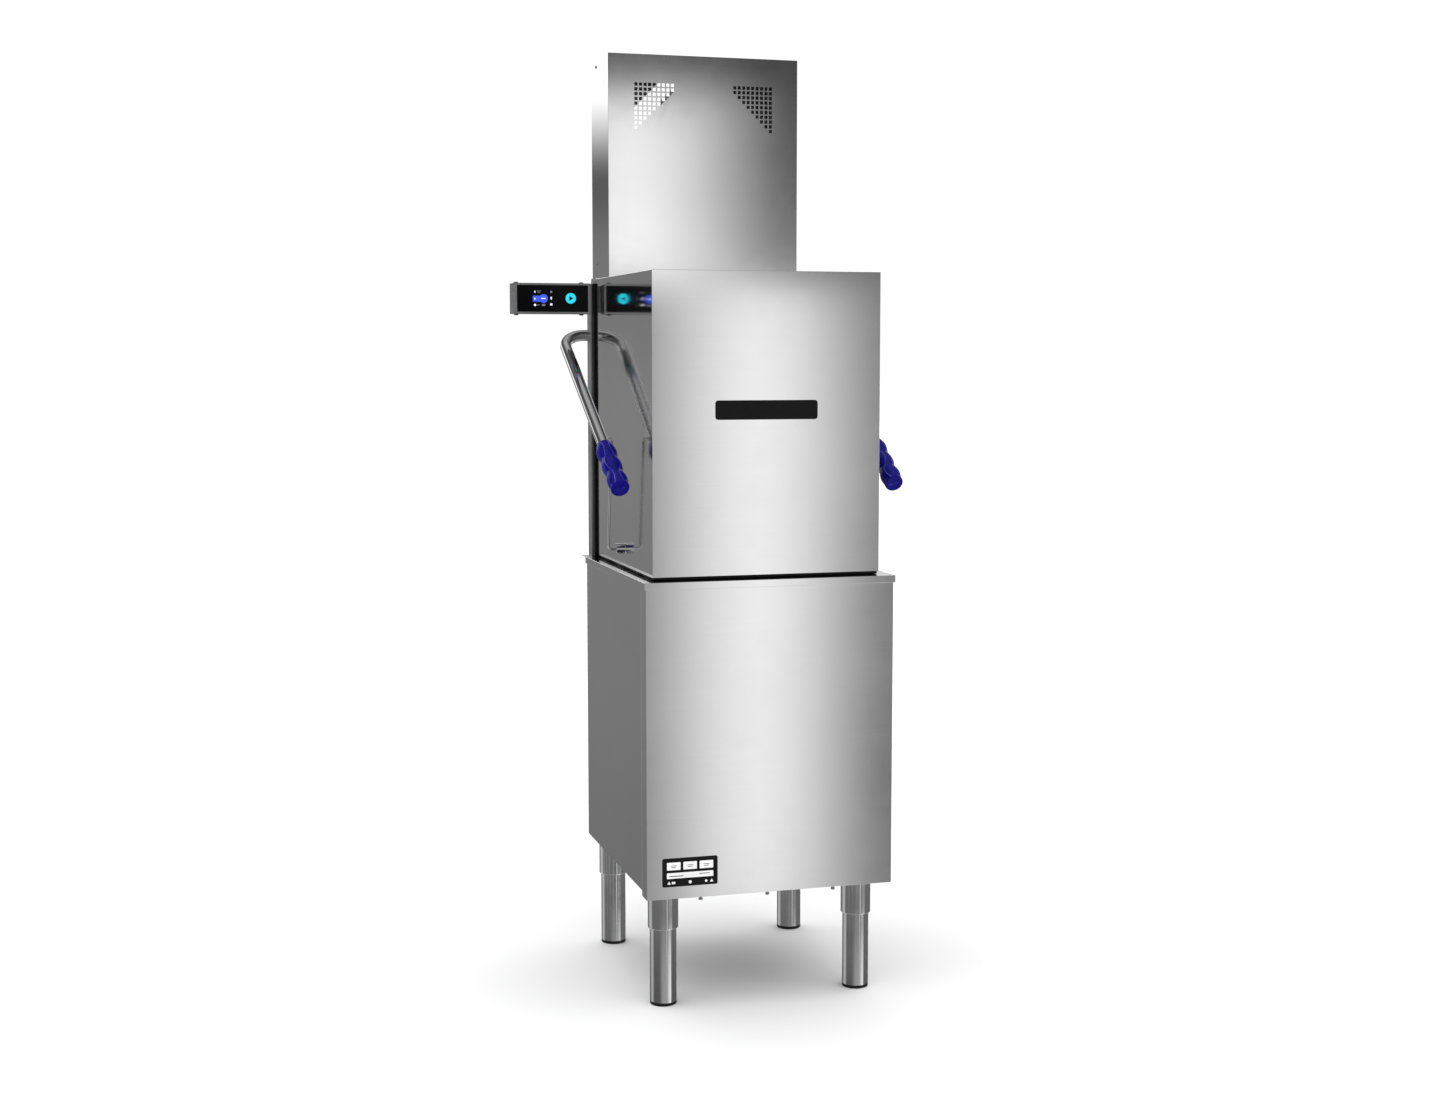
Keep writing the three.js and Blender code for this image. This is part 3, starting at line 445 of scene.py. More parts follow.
STEEL_TONE = (0.66, 0.655, 0.66)
# the blue plastic paints a highlight along the lines so marked
SEAM_MARK = "seam"  # the mesh attribute that the grips' mould lines are marked with
MATERIALS = {
    "brushed_steel": brushed_metal("sheet_steel", STEEL_TONE, 0.070, 0.090),
    "dull_steel": plain_metal("mill_steel", (0.40, 0.40, 0.405), 0.30, 0.42),
    "polished_steel": polished_metal("polished_steel", (0.62, 0.62, 0.625), 0.07, 0.13),
    "aluminium": brushed_metal("anodised_aluminium", (0.34, 0.345, 0.35), 0.26, 0.36, grain=900.0),
    "black_plastic": moulded("black_plastic", (0.004, 0.004, 0.0045), 0.34, 0.46, specular=0.2),
    "black_rubber": moulded("black_rubber", (0.008, 0.008, 0.008), 0.55, 0.75, grain=1500.0,
                            relief=0.00008, specular=0.25),
    "black_glass": moulded("black_glass", (0.002, 0.002, 0.0025), 0.05, 0.10, grain=400.0,
                           relief=0.000001, patches=30.0, specular=0.08),
    # the paler blue is the edges' colour and the painted highlight along the grips' mould lines
    "blue_plastic": moulded("blue_plastic", (0.003, 0.001, 0.205), 0.30, 0.42, relief=0.00002,
                            specular=0.12, pale_edge_and_seam_highlight=(0.10, 0.12, 0.42)),
    "cyan_plastic": lit("cyan_ring", (0.015, 0.56, 0.72), 0.7),
    "grey_plastic": moulded("grey_plastic", (0.14, 0.145, 0.155), 0.42, 0.55),
    "white_plastic": moulded("white_plastic", (0.86, 0.86, 0.855), 0.35, 0.48),
    "motor_paint": moulded("motor_paint", (0.085, 0.09, 0.10), 0.38, 0.5, grain=1200.0, relief=0.00009),
}
BLUE_LIGHT = lit("screen_blue", (0.035, 0.075, 0.62), 0.75)
WHITE_LIGHT = lit("screen_white", (0.80, 0.82, 0.85), 0.6)
GREY_LIGHT = lit("screen_grey", (0.16, 0.17, 0.19), 0.3)


def put_on(piece, body, slot, material=None):
    """Gives a new piece its body and its material, which is the slot's own unless one is given."""
    piece.data.materials.clear()
    piece.data.materials.append(material or MATERIALS[slot])
    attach(piece, body)
    return piece


# ---------------------------------------------------------------- CAD nodes with finished edges
WELD = 1e-6  # metres; corners of the CAD triangles closer than this are joined
FLAT = math.radians(0.4)  # triangles that meet at less than this become one face
EDGE_WIDTHS = {  # metres
    "front_panel": 0.0012, "left_side_panel": 0.0009, "right_side_panel": 0.0009, "rear_panel": 0.0006,
    "tank_rim": 0.0007, "hood_shell": 0.0010, "hood_lining": 0.0005, "tower_cover": 0.0006,
    "tower_rear_panel": 0.0004, "tower_base": 0.0005, "splash_panel": 0.0005, "left_column": 0.0010,
    "right_column": 0.0010, "left_guide": 0.0008, "right_guide": 0.0008, "control_housing": 0.0016,
    "control_glass": 0.0004, "badge_plate": 0.0005, "data_label": 0.0002, "hood_seal": 0.0015,
    "wash_tank": 0.0006, "rack_guide": 0.0005, "tank_filter": 0.0003, "electrical_box": 0.0015,
    "dosing_pumps": 0.0015,
}
PUNCHED = ("tower_cover", "rear_panel", "tank_filter", "tower_base")  # sheets with many holes
FOLD = 0.060  # on those, only folds longer than this are rolled over
TOWER_SHEETS = ("tower_cover", "tower_rear_panel")  # polished outside, left as rolled inside


def finished_copy(node, merged=True):
    """A new object with the node's CAD mesh joined up and, if merged, without inner triangle edges."""
    bm = bmesh.new()
    bm.from_mesh(NODES[node].data)
    bmesh.ops.remove_doubles(bm, verts=bm.verts, dist=WELD)
    if merged:
        bmesh.ops.dissolve_limit(bm, angle_limit=FLAT, verts=bm.verts, edges=bm.edges)
    return to_object(f"{node}_finished", bm)


def dull_inside(piece, middle):
    """Puts the dull finish on the faces that look towards middle."""
    piece.data.materials.append(MATERIALS["dull_steel"])
    for face in piece.data.polygons:
        if face.normal.dot(face.center - middle) < 0:
            face.material_index = 1


def finish_edges():
    """Stands a copy with rolled edges in for each sheet and moulding."""
    tower_low, tower_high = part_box("tower_cover")
    for node, width in EDGE_WIDTHS.items():
        if node in PUNCHED:
            piece = round_edges(finished_copy(node, merged=False), width, shortest=FOLD)
        else:
            piece = round_edges(finished_copy(node), width)
        put_on(piece, BODY_OF[node], SLOT_OF[node])
        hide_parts(node)
        if node in TOWER_SHEETS:
            dull_inside(piece, (tower_low + tower_high) / 2)


# ---------------------------------------------------------------- legs
CHASSIS_LOW, CHASSIS_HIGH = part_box("chassis")
PLATE_THICKNESS = 0.0025
RAIL_HEIGHT = 0.025  # the rails stand on the chassis plate
SHEET = CHASSIS_HIGH.z - PLATE_THICKNESS - RAIL_HEIGHT + 0.00005  # just above the plate's underside
LEG_WALL = 0.002
LEG_EDGE = 0.0006
LEG_STEPS = 72
PAD_GAP = 0.0003  # between the rubber pad and the tube
SOCKET_LOW = CHASSIS_LOW.z
SOCKET_RADIUS = 0.03625
SOCKET_GAP = 0.0008  # between the socket and the tube


def leg_pieces():
    """The chassis without its CAD sockets, then four legs with turned sockets."""
    pan = finished_copy("chassis")
    bm = bmesh.new()
    bm.from_mesh(pan.data)
    cut = bmesh.ops.bisect_plane(bm, geom=[*bm.verts, *bm.edges, *bm.faces], dist=SAME_PLACE,
                                 plane_co=(0, 0, SHEET), plane_no=(0, 0, 1), clear_inner=True)
    rim = [item for item in cut["geom_cut"] if isinstance(item, bmesh.types.BMEdge)]
    bmesh.ops.holes_fill(bm, edges=rim)
    bmesh.ops.recalc_face_normals(bm, faces=bm.faces)
    bm.to_mesh(pan.data)
    bm.free()
    round_edges(pan, 0.0004)
    put_on(pan, BODY_OF["chassis"], "dull_steel")
    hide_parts("chassis")
    for end in ("front", "rear"):
        for side in ("left", "right"):
            leg(f"{end}_{side}")


def leg(name):
    low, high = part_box(f"{name}_leg_tube")
    axis = upright_axis(low, high)
    radius = (high.x - low.x) / 2
    body = BODY_OF[f"{name}_leg_tube"]
    leg_tube(name, body, axis, radius, low.z, high.z)
    foot_pad(name, body, axis, radius, low.z - PAD_GAP)
    leg_socket(name, axis, radius)


def upright_axis(low, high):
    """The point on the floor below the middle of a box."""
    return Vector(((low.x + high.x) / 2, (low.y + high.y) / 2, 0))


def leg_tube(name, body, axis, radius, bottom, top):
    bore = radius - LEG_WALL
    tube = lathe(f"{name}_tube_finished", [
        (bore, bottom), (radius - LEG_EDGE, bottom), (radius, bottom + LEG_EDGE), (radius, top - LEG_EDGE),
        (radius - LEG_EDGE, top), (bore, top)], axis, Z, LEG_STEPS)
    put_on(tube, body, "polished_steel")
    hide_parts(f"{name}_leg_tube")


def foot_pad(name, body, axis, radius, rim):
    """A rubber pad up to rim, with a spigot inside the tube above it."""
    spigot = radius - LEG_WALL - PAD_GAP
    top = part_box(f"{name}_foot_pad")[1].z
    pad = lathe(f"{name}_pad_finished", [
        (0, 0.0008), (radius - 0.009, 0.0008), (radius - 0.007, 0), (radius - 0.0022, 0),
        (radius - 0.0008, 0.0006), (radius, 0.002), (radius, rim - 0.0006), (radius - 0.0006, rim),
        (spigot, rim), (spigot, top - 0.001), (spigot - 0.001, top), (0, top)], axis, Z, LEG_STEPS)
    put_on(pad, body, "black_rubber")
    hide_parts(f"{name}_foot_pad")


def leg_socket(name, axis, radius):
    """The collar that a tube slides in, flared where it meets the chassis plate."""
    outer = SOCKET_RADIUS
    inner = radius + SOCKET_GAP
    socket = lathe(f"{name}_socket", [
        (inner, SOCKET_LOW), (outer - 0.0012, SOCKET_LOW), (outer - 0.0004, SOCKET_LOW + 0.0004),
        (outer, SOCKET_LOW + 0.0014), (outer, SOCKET_LOW + 0.0018), (outer, SHEET - 0.0041),
        (outer, SHEET - 0.0035), (outer + 0.0022, SHEET - 0.0001), (inner, SHEET - 0.0001)],
        axis, Z, LEG_STEPS)
    put_on(socket, BODY_OF["chassis"], "polished_steel")


# ---------------------------------------------------------------- lifting handle
PIVOT = Vector(JOINT["handle_pivot"]["pos_m"])
LINK_PIN = Vector(JOINT["left_link_pivot"]["pos_m"])
CORNER = Vector((MIDDLE_X - 0.354, PIVOT.y, PIVOT.z))
ARM = (LINK_PIN - CORNER).normalized()  # along the left arm, from the shaft to the grip
BAR_RADIUS = 0.0145
BAR_TIP = 0.102  # metres behind the front panel's face, inside the grip
BEND = 0.060
LEVER_HALF_THICKNESS = 0.004

GRIP_TOP = 0.248  # metres behind the front panel's face, like GRIP_END
GRIP_END = 0.094
GRIP_VALLEY = 0.0195  # radius between the finger swells
GRIP_SWELL = 0.0048
GRIP_STEPS = (144, 150)  # around and along
GRIP_COLLAR = 0.003  # the plain ring before the first swell
GRIP_CAP = 0.004  # from the last swell's own end to the flat end
GRIP_BOTTOM = 0.005  # the closed end's thickness
GRIP_ROUNDING = 0.0032  # where the last swell turns to the flat end
RUN_OUT = 0.965  # from this share of the length on, the last swell runs out

SEAM_HEIGHT = 0.0005
SEAM_WIDTH = 0.045  # radians
SEAMS = ((1.15, 0.34, 0.0), (-1.15, 0.34, 0.0), (0.0, 0.22, 0.5))  # bearing, swing and phase

LINK_RADIUS = 0.004
LINK_UPRIGHT = 0.318  # from the mid-plane
LINK_FOOT = 0.3006  # from the mid-plane, at the boss on the hood


def mirrored(place):
    return Vector((2 * MIDDLE_X - place.x, place.y, place.z))


def arm_point(y):
    """The point of the left arm's axis that is y metres behind the front panel's face."""
    return CORNER + ARM * ((CORNER.y - FRONT_Y - y) / -ARM.y)


def lift_bar():
    """The bent tube, and the lever that the balance spring pulls on."""
    tip = arm_point(BAR_TIP)
    path = filleted([tip, CORNER, mirrored(CORNER), mirrored(tip)], BEND, 18)
    bar = sweep("lift_bar_finished", path, BAR_RADIUS, 40)
    put_on(bar, "handle", "polished_steel")
    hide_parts("lift_bar")
    lever_outline = [(0, -0.011), (0.050, -0.011), (0.061, -0.006), (0.061, 0.006), (0.050, 0.011),
                     (0, 0.011)]
    lever_side = Vector((MIDDLE_X - LEVER_HALF_THICKNESS, PIVOT.y, PIVOT.z))
    lever = plate("spring_lever", lever_outline, lever_side, Y, Z, 2 * LEVER_HALF_THICKNESS)
    round_edges(lever, 0.0008)
    put_on(lever, "handle", "dull_steel")


def grip_radius(share, angle):
    """The hand grip: three finger swells with tight valleys, and three wavy mould lines."""
    wave = math.sqrt(math.sin(3 * math.pi * share) ** 2 + 0.01) - 0.1
    return GRIP_VALLEY + GRIP_SWELL * wave / 0.905 + SEAM_HEIGHT * seam_share(share, angle)


def seam_share(share, angle):
    """1 on the crest of a mould line, 0 away from all of them."""
    total = 0.0
    for seam, reach, phase in SEAMS:
        path = seam + reach * math.sin(TURN * (1.5 * share + phase))
        away = (angle - path + math.pi) % TURN - math.pi
        total += math.exp(-((away / SEAM_WIDTH) ** 2))
    return total


def grip_end(share, angle):
    """The last swell doesn't close down again: it runs out to the flat end."""
    blend = min(1.0, (share - 0.85) / 0.15)
    return (1 - blend) * grip_radius(share, angle) + blend * (GRIP_VALLEY + 0.6 * GRIP_SWELL)


def grip_rings(length, cap):
    """Each ring of a grip from the top down: its distance from the top and its radius at an angle."""
    yield 0.0, lambda angle: BAR_RADIUS + 0.0003
    yield 0.0, lambda angle: 0.0175
    yield 0.0008, lambda angle: 0.0188
    along = GRIP_STEPS[1]
    for j in range(along + 1):
        share = j / along
        section = grip_radius if share < RUN_OUT else grip_end
        yield GRIP_COLLAR + share * (cap - GRIP_COLLAR), lambda angle: section(share, angle)
    for quarter in (0.25, 0.5, 0.75, 1.0):
        turn = quarter * math.pi / 2
        drop = GRIP_ROUNDING * (1 - math.cos(turn))
        yield cap + GRIP_ROUNDING * math.sin(turn), lambda angle: grip_end(1.0, angle) - drop
    yield length - 0.0008, lambda angle: 0.0135
    yield length - 0.0012, lambda angle: 0.0130
    yield length - 0.0012, lambda angle: 0.0004


def grip(side):
    """side is -1 for the left grip and 1 for the right one."""
    top = arm_point(GRIP_TOP)
    end = arm_point(GRIP_END)
    if side > 0:
        top = mirrored(top)
        end = mirrored(end)
    axis = end - top
    length = axis.length
    axis.normalize()
    front = X * side * 0.4 - Y
    front = (front - axis * front.dot(axis)).normalized()
    across = axis.cross(front)
    around = GRIP_STEPS[0]
    cap = length - GRIP_CAP
    bm = bmesh.new()
    crest = bm.verts.layers.float.new(SEAM_MARK)
    loops = []
    for distance, radius_at in grip_rings(length, cap):
        ring = []
        for i in range(around):
            angle = TURN * i / around
            offset = math.cos(angle) * front + math.sin(angle) * across
            corner = bm.verts.new(top + axis * distance + radius_at(angle) * offset)
            # marks the mould lines' crests, where the blue plastic paints a highlight
            if GRIP_COLLAR < distance <= cap:
                corner[crest] = seam_share((distance - GRIP_COLLAR) / (cap - GRIP_COLLAR), angle)
            ring.append(corner)
        loops.append(ring)
    for low, high in zip(loops, loops[1:]):
        bridge(bm, low, high)
    bm.faces.new(loops[-1])
    bore_depth = length - GRIP_BOTTOM
    deep = [bm.verts.new(v.co + axis * bore_depth) for v in loops[0]]
    bridge(bm, deep, loops[0])
    bm.faces.new(deep)
    name = "left_grip" if side < 0 else "right_grip"
    piece = shade(to_object(f"{name}_finished", bm), 42)
    put_on(piece, "handle", "blue_plastic")
    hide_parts(name)


def link_rods():
    """The bent rods from the arms to the bosses on the hood."""
    for side, node in ((-1, "left_link_rod"), (1, "right_link_rod")):
        low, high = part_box(node)
        pin = LINK_PIN if side < 0 else mirrored(LINK_PIN)
        lower_y = high.y - LINK_RADIUS
        lower_z = low.z + LINK_RADIUS
        upright = MIDDLE_X + side * LINK_UPRIGHT
        foot = MIDDLE_X + side * LINK_FOOT
        path = filleted([Vector((pin.x - side * 0.002, pin.y, pin.z)), Vector((upright, pin.y, pin.z)),
                         Vector((upright, lower_y, lower_z)), Vector((foot, lower_y, lower_z))], 0.008, 8)
        rod = sweep(f"{node}_finished", path, LINK_RADIUS, 20, 0.0006)
        put_on(rod, BODY_OF[node], "polished_steel")
        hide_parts(node)


def balance_spring():
    """A close coil with a hook up to the lever, built at one length; the real spring shortens as the
    handle turns.
    """
    low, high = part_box("balance_spring")
    axis = upright_axis(low, high)
    wire = 0.003
    radius = (high.x - low.x) / 2 - wire
    turns, steps = 24, 20
    bottom = low.z + wire
    top = high.z - 0.0225
    path = []
    for i in range(turns * steps + 1):
        angle = TURN * i / steps
        rise = bottom + (top - bottom) * i / (turns * steps)
        path.append(axis + Vector((radius * math.cos(angle), radius * math.sin(angle), rise)))
    hook = [path[-1] + Vector((-radius * 0.7, 0, wire)), axis + Vector((0, 0, top + 2.2 * wire)),
            axis + Vector((0, 0, high.z - wire))]
    spring = sweep("balance_spring_finished", path + hook, wire * 0.62, 10, 0.0004)
    put_on(spring, BODY_OF["balance_spring"], "dull_steel")
    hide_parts("balance_spring")
    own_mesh(spring)


# ---------------------------------------------------------------- screws
TOWER_HEAD = (0.0045, 0.0022)  # radius and height of a screw's head
BACK_HEAD = (0.0042, 0.0022)
CONTROL_HEAD = (0.0058, 0.0032)
TOWER_SCREW_Y = 0.722  # metres behind the front panel's face
PANEL_SCREWS = 3
SCREW_NECK = 0.0034
SCREW_SHANK = 0.0025
SEAT_GAP = 0.0003  # between a screw's neck and the front panel's lower edge


def screw(name, place, outward, head_size, body, slot="polished_steel"):
    """A pan-head screw with a round socket, standing on place and facing outward."""
    radius, height = head_size
    socket = radius * 0.42
    depth = height * 0.6
    head = lathe(name, [
        (0, height - depth), (socket, height - depth), (socket, height * 0.98), (radius * 0.6, height),
        (radius * 0.85, height * 0.8), (radius, height * 0.4), (radius, 0), (0, 0)], place, outward, 36)
    return put_on(head, body, slot)


def tower_screws():
    """Two screws on each side of the tower, and the rows down its back and the machine's."""
    low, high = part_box("tower_cover")
    for side, x, outward in (("left", low.x, -X), ("right", high.x, X)):
        for level, z in (("low", low.z + 0.041), ("high", high.z - 0.018)):
            place = Vector((x, FRONT_Y + TOWER_SCREW_Y, z))
            screw(f"tower_screw_{side}_{level}", place, outward, TOWER_HEAD, "frame", "dull_steel")
    back_screws("tower_back_screw", low, high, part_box("tower_rear_panel")[1].y, 0.012, 0.020)
    rear_low, rear_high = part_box("rear_panel")
    back_screws("rear_panel_screw", rear_low, rear_high, rear_high.y, 0.010, 0.030)


def back_screws(name, low, high, back, from_side, from_end):
    """Three screws down each side of a panel whose outer face is at back."""
    levels = (low.z + from_end, (low.z + high.z) / 2, high.z - from_end)
    for side, x in (("left", low.x + from_side), ("right", high.x - from_side)):
        for k, z in enumerate(levels):
            screw(f"{name}_{side}_{k}", Vector((x, back, z)), Y, BACK_HEAD, "frame")


def control_screws():
    """Two screws through the top of the control housing and two through the bottom."""
    low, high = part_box("control_housing")
    glass_low, glass_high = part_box("control_glass")
    y = (glass_low.y + high.y) / 2 - 0.008
    for k, x in enumerate((low.x + 0.013, glass_high.x - 0.012)):
        for level, z, outward in (("top", high.z, Z), ("bottom", low.z, -Z)):
            name = f"control_screw_{level}_{k}"
            screw(name, Vector((x, y, z)), outward, CONTROL_HEAD, "frame", "black_plastic")


def panel_screws():
    """Thumb screws under the front panel: a round head, a neck, and the shank that goes in."""
    seat = PANEL_LOW.z - SEAT_GAP
    for k in range(1, PANEL_SCREWS + 1):
        node = f"panel_screw_{k}"
        low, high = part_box(node)
        radius = (high.x - low.x) / 2
        head = lathe(f"{node}_finished", [
            (0, low.z), (radius * 0.7, low.z), (radius * 0.93, low.z + 0.0004), (radius, low.z + 0.0012),
            (radius, low.z + 0.0038), (radius * 0.93, low.z + 0.0046), (radius * 0.75, low.z + 0.0050),
            (SCREW_NECK, low.z + 0.0054), (SCREW_NECK, seat - 0.0003), (SCREW_NECK - 0.0003, seat),
            (SCREW_SHANK, seat), (SCREW_SHANK, high.z - 0.0006), (SCREW_SHANK - 0.0006, high.z),
            (0, high.z)], upright_axis(low, high), Z, 40)
        put_on(head, "frame", "polished_steel", MATERIALS["dull_steel"])
        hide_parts(node)


# ---------------------------------------------------------------- label, screen and button
PRINT = 0.00012  # how far print stands off its plate
PRINT_GAP = 0.00002  # between the print's back and the plate


def printed(name, outline, x, z, face, slot, material=None, body="frame"):
    """A thin printed shape whose back is at face, seen from the front."""
    piece = plate(name, outline, Vector((x, face, z)), X, Z, PRINT)
    return put_on(piece, body, slot, material)


def label_print():
    """Blank generic fields where the real label has its data."""
    low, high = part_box("data_label")
    width, height = high.x - low.x, high.z - low.z
    face = low.y - PRINT_GAP
    middle = (low.x + high.x) / 2
    for k in range(3):
        x = low.x + width * (0.205 + 0.295 * k)
        printed(f"label_field_{k}", rounded_box(width * 0.245, height * 0.27, 0.0012), x,
                low.z + height * 0.72, face, "white_plastic")
        for row, share in enumerate((0.11, 0.085)):
            printed(f"label_line_{k}_{row}", rounded_box(width * share, height * 0.022, 0.0003), x,
                    low.z + height * (0.735 - 0.055 * row), face - PRINT, "grey_plastic")
    printed("label_bar", rounded_box(width * 0.84, height * 0.20, 0.0012), middle,
            low.z + height * 0.39, face, "white_plastic")
    printed("label_bar_line", rounded_box(width * 0.26, height * 0.035, 0.0004), low.x + width * 0.25,
            low.z + height * 0.37, face - PRINT, "grey_plastic")
    printed("label_bar_line_short", rounded_box(width * 0.19, height * 0.03, 0.0004),
            low.x + width * 0.76, low.z + height * 0.41, face - PRINT, "grey_plastic")
    triangle = [(-0.0042, -0.0032), (0.0042, -0.0032), (0, 0.0040)]
    marks = ((0.12, triangle), (0.20, rounded_box(0.0085, 0.0055, 0.0015)), (0.50, disc(0.0038, 24)),
             (0.79, rounded_box(0.0060, 0.0060, 0.0028)), (0.89, triangle))
    for k, (share, outline) in enumerate(marks):
        printed(f"label_mark_{k}", outline, low.x + width * share, low.z + height * 0.14, face,
                "white_plastic")


def screen():
    """A plain bar, a dial and a few blank marks stand for the display."""
    low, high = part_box("control_glass")
    face = low.y - PRINT_GAP
    left = low.x
    z = (low.z + high.z) / 2
    printed("screen_bar", rounded_box(0.0260, 0.0150, 0.0008), left + 0.0520, z - 0.0008, face,
            "blue_plastic", BLUE_LIGHT)
    printed("screen_dial", disc(0.0112), left + 0.0665, z - 0.0004, face - PRINT, "blue_plastic",
            BLUE_LIGHT)
    printed("screen_dial_line", rounded_box(0.0120, 0.0022, 0.0010), left + 0.0665, z, face - 2 * PRINT,
            "white_plastic", WHITE_LIGHT)
    printed("screen_bar_mark", disc(0.0018, 20), left + 0.0445, z - 0.0008, face - PRINT, "white_plastic",
            WHITE_LIGHT)
    marks = (
        (0.0445, 0.0165, rounded_box(0.0030, 0.0050, 0.0012), WHITE_LIGHT),
        (0.0545, 0.0185, rounded_box(0.0110, 0.0016, 0.0006), GREY_LIGHT),
        (0.0545, 0.0150, rounded_box(0.0070, 0.0016, 0.0006), GREY_LIGHT),
        (0.0445, -0.0165, disc(0.0030, 24), WHITE_LIGHT),
        (0.0535, -0.0165, rounded_box(0.0060, 0.0022, 0.0008), GREY_LIGHT),
        (0.0665, -0.0165, rounded_box(0.0090, 0.0050, 0.0008), GREY_LIGHT),
        (0.0865, 0.0165, disc(0.0030, 24), GREY_LIGHT),
        (0.0865, 0.0010, rounded_box(0.0034, 0.0070, 0.0012), WHITE_LIGHT),
        (0.0865, -0.0150, rounded_box(0.0058, 0.0050, 0.0008), WHITE_LIGHT),
    )
    for k, (x, rise, outline, material) in enumerate(marks):
        printed(f"screen_mark_{k}", outline, left + x, z + rise, face, "white_plastic", material)


def button():
    """A shallow dished cap with a plain arrow on it."""
    low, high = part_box("start_button")
    centre = Vector(((low.x + high.x) / 2, low.y, (low.z + high.z) / 2))
    radius = (high.x - low.x) / 2
    depth = high.y - low.y
    cap = lathe("start_button_finished", [
        (0, 0.0004), (radius * 0.55, 0.0002), (radius * 0.82, 0), (radius - 0.0008, 0.0006),
        (radius - 0.0002, 0.0013), (radius, 0.002), (radius, depth - 0.0005), (radius - 0.0005, depth),
        (0, depth)], centre, Y, 64)
    put_on(cap, "start_button", "cyan_plastic")
    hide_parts("start_button")
    arrow = [(-0.0042, -0.0058), (0.0062, 0.0), (-0.0042, 0.0058)]
    printed("start_arrow", arrow, centre.x, centre.z, low.y + 0.00015, "black_plastic",
            body="start_button")


# ---------------------------------------------------------------- everything else keeps its CAD mesh
def dress_cad_nodes():
    """Puts the finished materials on every CAD mesh in place of the plain ones."""
    for node, piece in NODES.items():
        for slot in piece.material_slots:
            slot.material = MATERIALS[SLOT_OF[node]]


# ---------------------------------------------------------------- floor, light and camera
FLOOR_SIZE = 40  # metres
LENS = 49.465  # millimetres, on a sensor 36 mm wide
CAMERA_PLACE = (-1391.4, -4393.5, 1535.8)  # millimetres, as at() takes them
CAMERA_TILT = math.radians(84.48)  # from straight down
CAMERA_TURN = math.radians(-16.14)
WHITE = 1.04  # what the camera sees behind the machine


def floor():
    """A white floor that the metal doesn't mirror."""
    bm = bmesh.new()
    bmesh.ops.create_grid(bm, x_segments=2, y_segments=2, size=FLOOR_SIZE)
    piece = to_object("studio_floor", bm)
    look = Look("studio_floor", specular=0.0)
    haze = look.noise(0.8, 2.0)
    look.feed("Base Color", look.colours(look.spread(haze, 0.0, 1.0), (0.0, (0.84, 0.84, 0.845)),
                                         (1.0, (0.86, 0.86, 0.86))))
    look.feed("Roughness", look.spread(haze, 0.30, 0.34))
    piece.data.materials.append(look.material)
    piece.visible_glossy = False


class Room:
    """The studio as the metal sees it, by bearing (degrees from -Y towards +X) and height (sine)."""

    def __init__(self, tree):
        self.nodes, self.links = tree.nodes, tree.links
        self.nodes.clear()
        place = self.nodes.new("ShaderNodeTexCoord")
        parts = self.nodes.new("ShaderNodeSeparateXYZ")
        self.links.new(place.outputs["Generated"], parts.inputs["Vector"])
        self.height = parts.outputs["Z"]
        toward = self.math("MULTIPLY", parts.outputs["Y"], -1.0)
        turn = self.math("ARCTAN2", parts.outputs["X"], toward)
        self.bearing = self.math("MULTIPLY", turn, 180 / math.pi)

    def math(self, operation, first, second):
        node = self.nodes.new("ShaderNodeMath")
        node.operation = operation
        for socket, value in zip(node.inputs, (first, second)):
            if isinstance(value, (int, float)):
                socket.default_value = value
            else:
                self.links.new(value, socket)
        return node.outputs[0]

    def spread(self, source, start, low, end, high):
        """Runs smoothly from low at start to high at end."""
        node = self.nodes.new("ShaderNodeMapRange")
        node.interpolation_type = "SMOOTHSTEP"
        node.inputs["From Min"].default_value = start
        node.inputs["From Max"].default_value = end
        node.inputs["To Min"].default_value = low
        node.inputs["To Max"].default_value = high
        self.links.new(source, node.inputs["Value"])
        return node.outputs["Result"]

    def window(self, source, start, end, soft_start, soft_end):
        """1 between start and end, with a soft edge at each."""
        rising = self.spread(source, start - soft_start, 0.0, start + soft_start, 1.0)
        falling = self.spread(source, end - soft_end, 1.0, end + soft_end, 0.0)
        return self.math("MULTIPLY", rising, falling)

    def profile(self, steps):
        """Brightness by height alone, through (height, level) steps."""
        total = steps[0][1]
        for (start, low), (end, high) in zip(steps, steps[1:]):
            total = self.math("ADD", total, self.spread(self.height, start, 0.0, end, high - low))
        return total

    def soft_box(self, bearings, heights, softness, level, both_sides=False):
        """A patch between two bearings and two heights; softness is the half width of its four edges."""
        turn = self.math("ABSOLUTE", self.bearing, 0.0) if both_sides else self.bearing
        across = self.window(turn, *bearings, *softness[:2])
        up = self.window(self.height, *heights, *softness[2:])
        return self.math("MULTIPLY", self.math("MULTIPLY", across, up), level)

    def choose(self, ray, otherwise, chosen):
        """One background for rays of that kind and another for the rest."""
        mix = self.nodes.new("ShaderNodeMixShader")
        rays = self.nodes.new("ShaderNodeLightPath")
        self.links.new(rays.outputs[ray], mix.inputs["Fac"])
        self.links.new(otherwise, mix.inputs[1])
        self.links.new(chosen, mix.inputs[2])
        return mix.outputs[0]

    def background(self, strength):
        node = self.nodes.new("ShaderNodeBackground")
        node.inputs["Color"].default_value = (1, 1, 1, 1)
        if isinstance(strength, float):
            node.inputs["Strength"].default_value = strength
        else:
            self.links.new(strength, node.inputs["Strength"])
        return node.outputs[0]


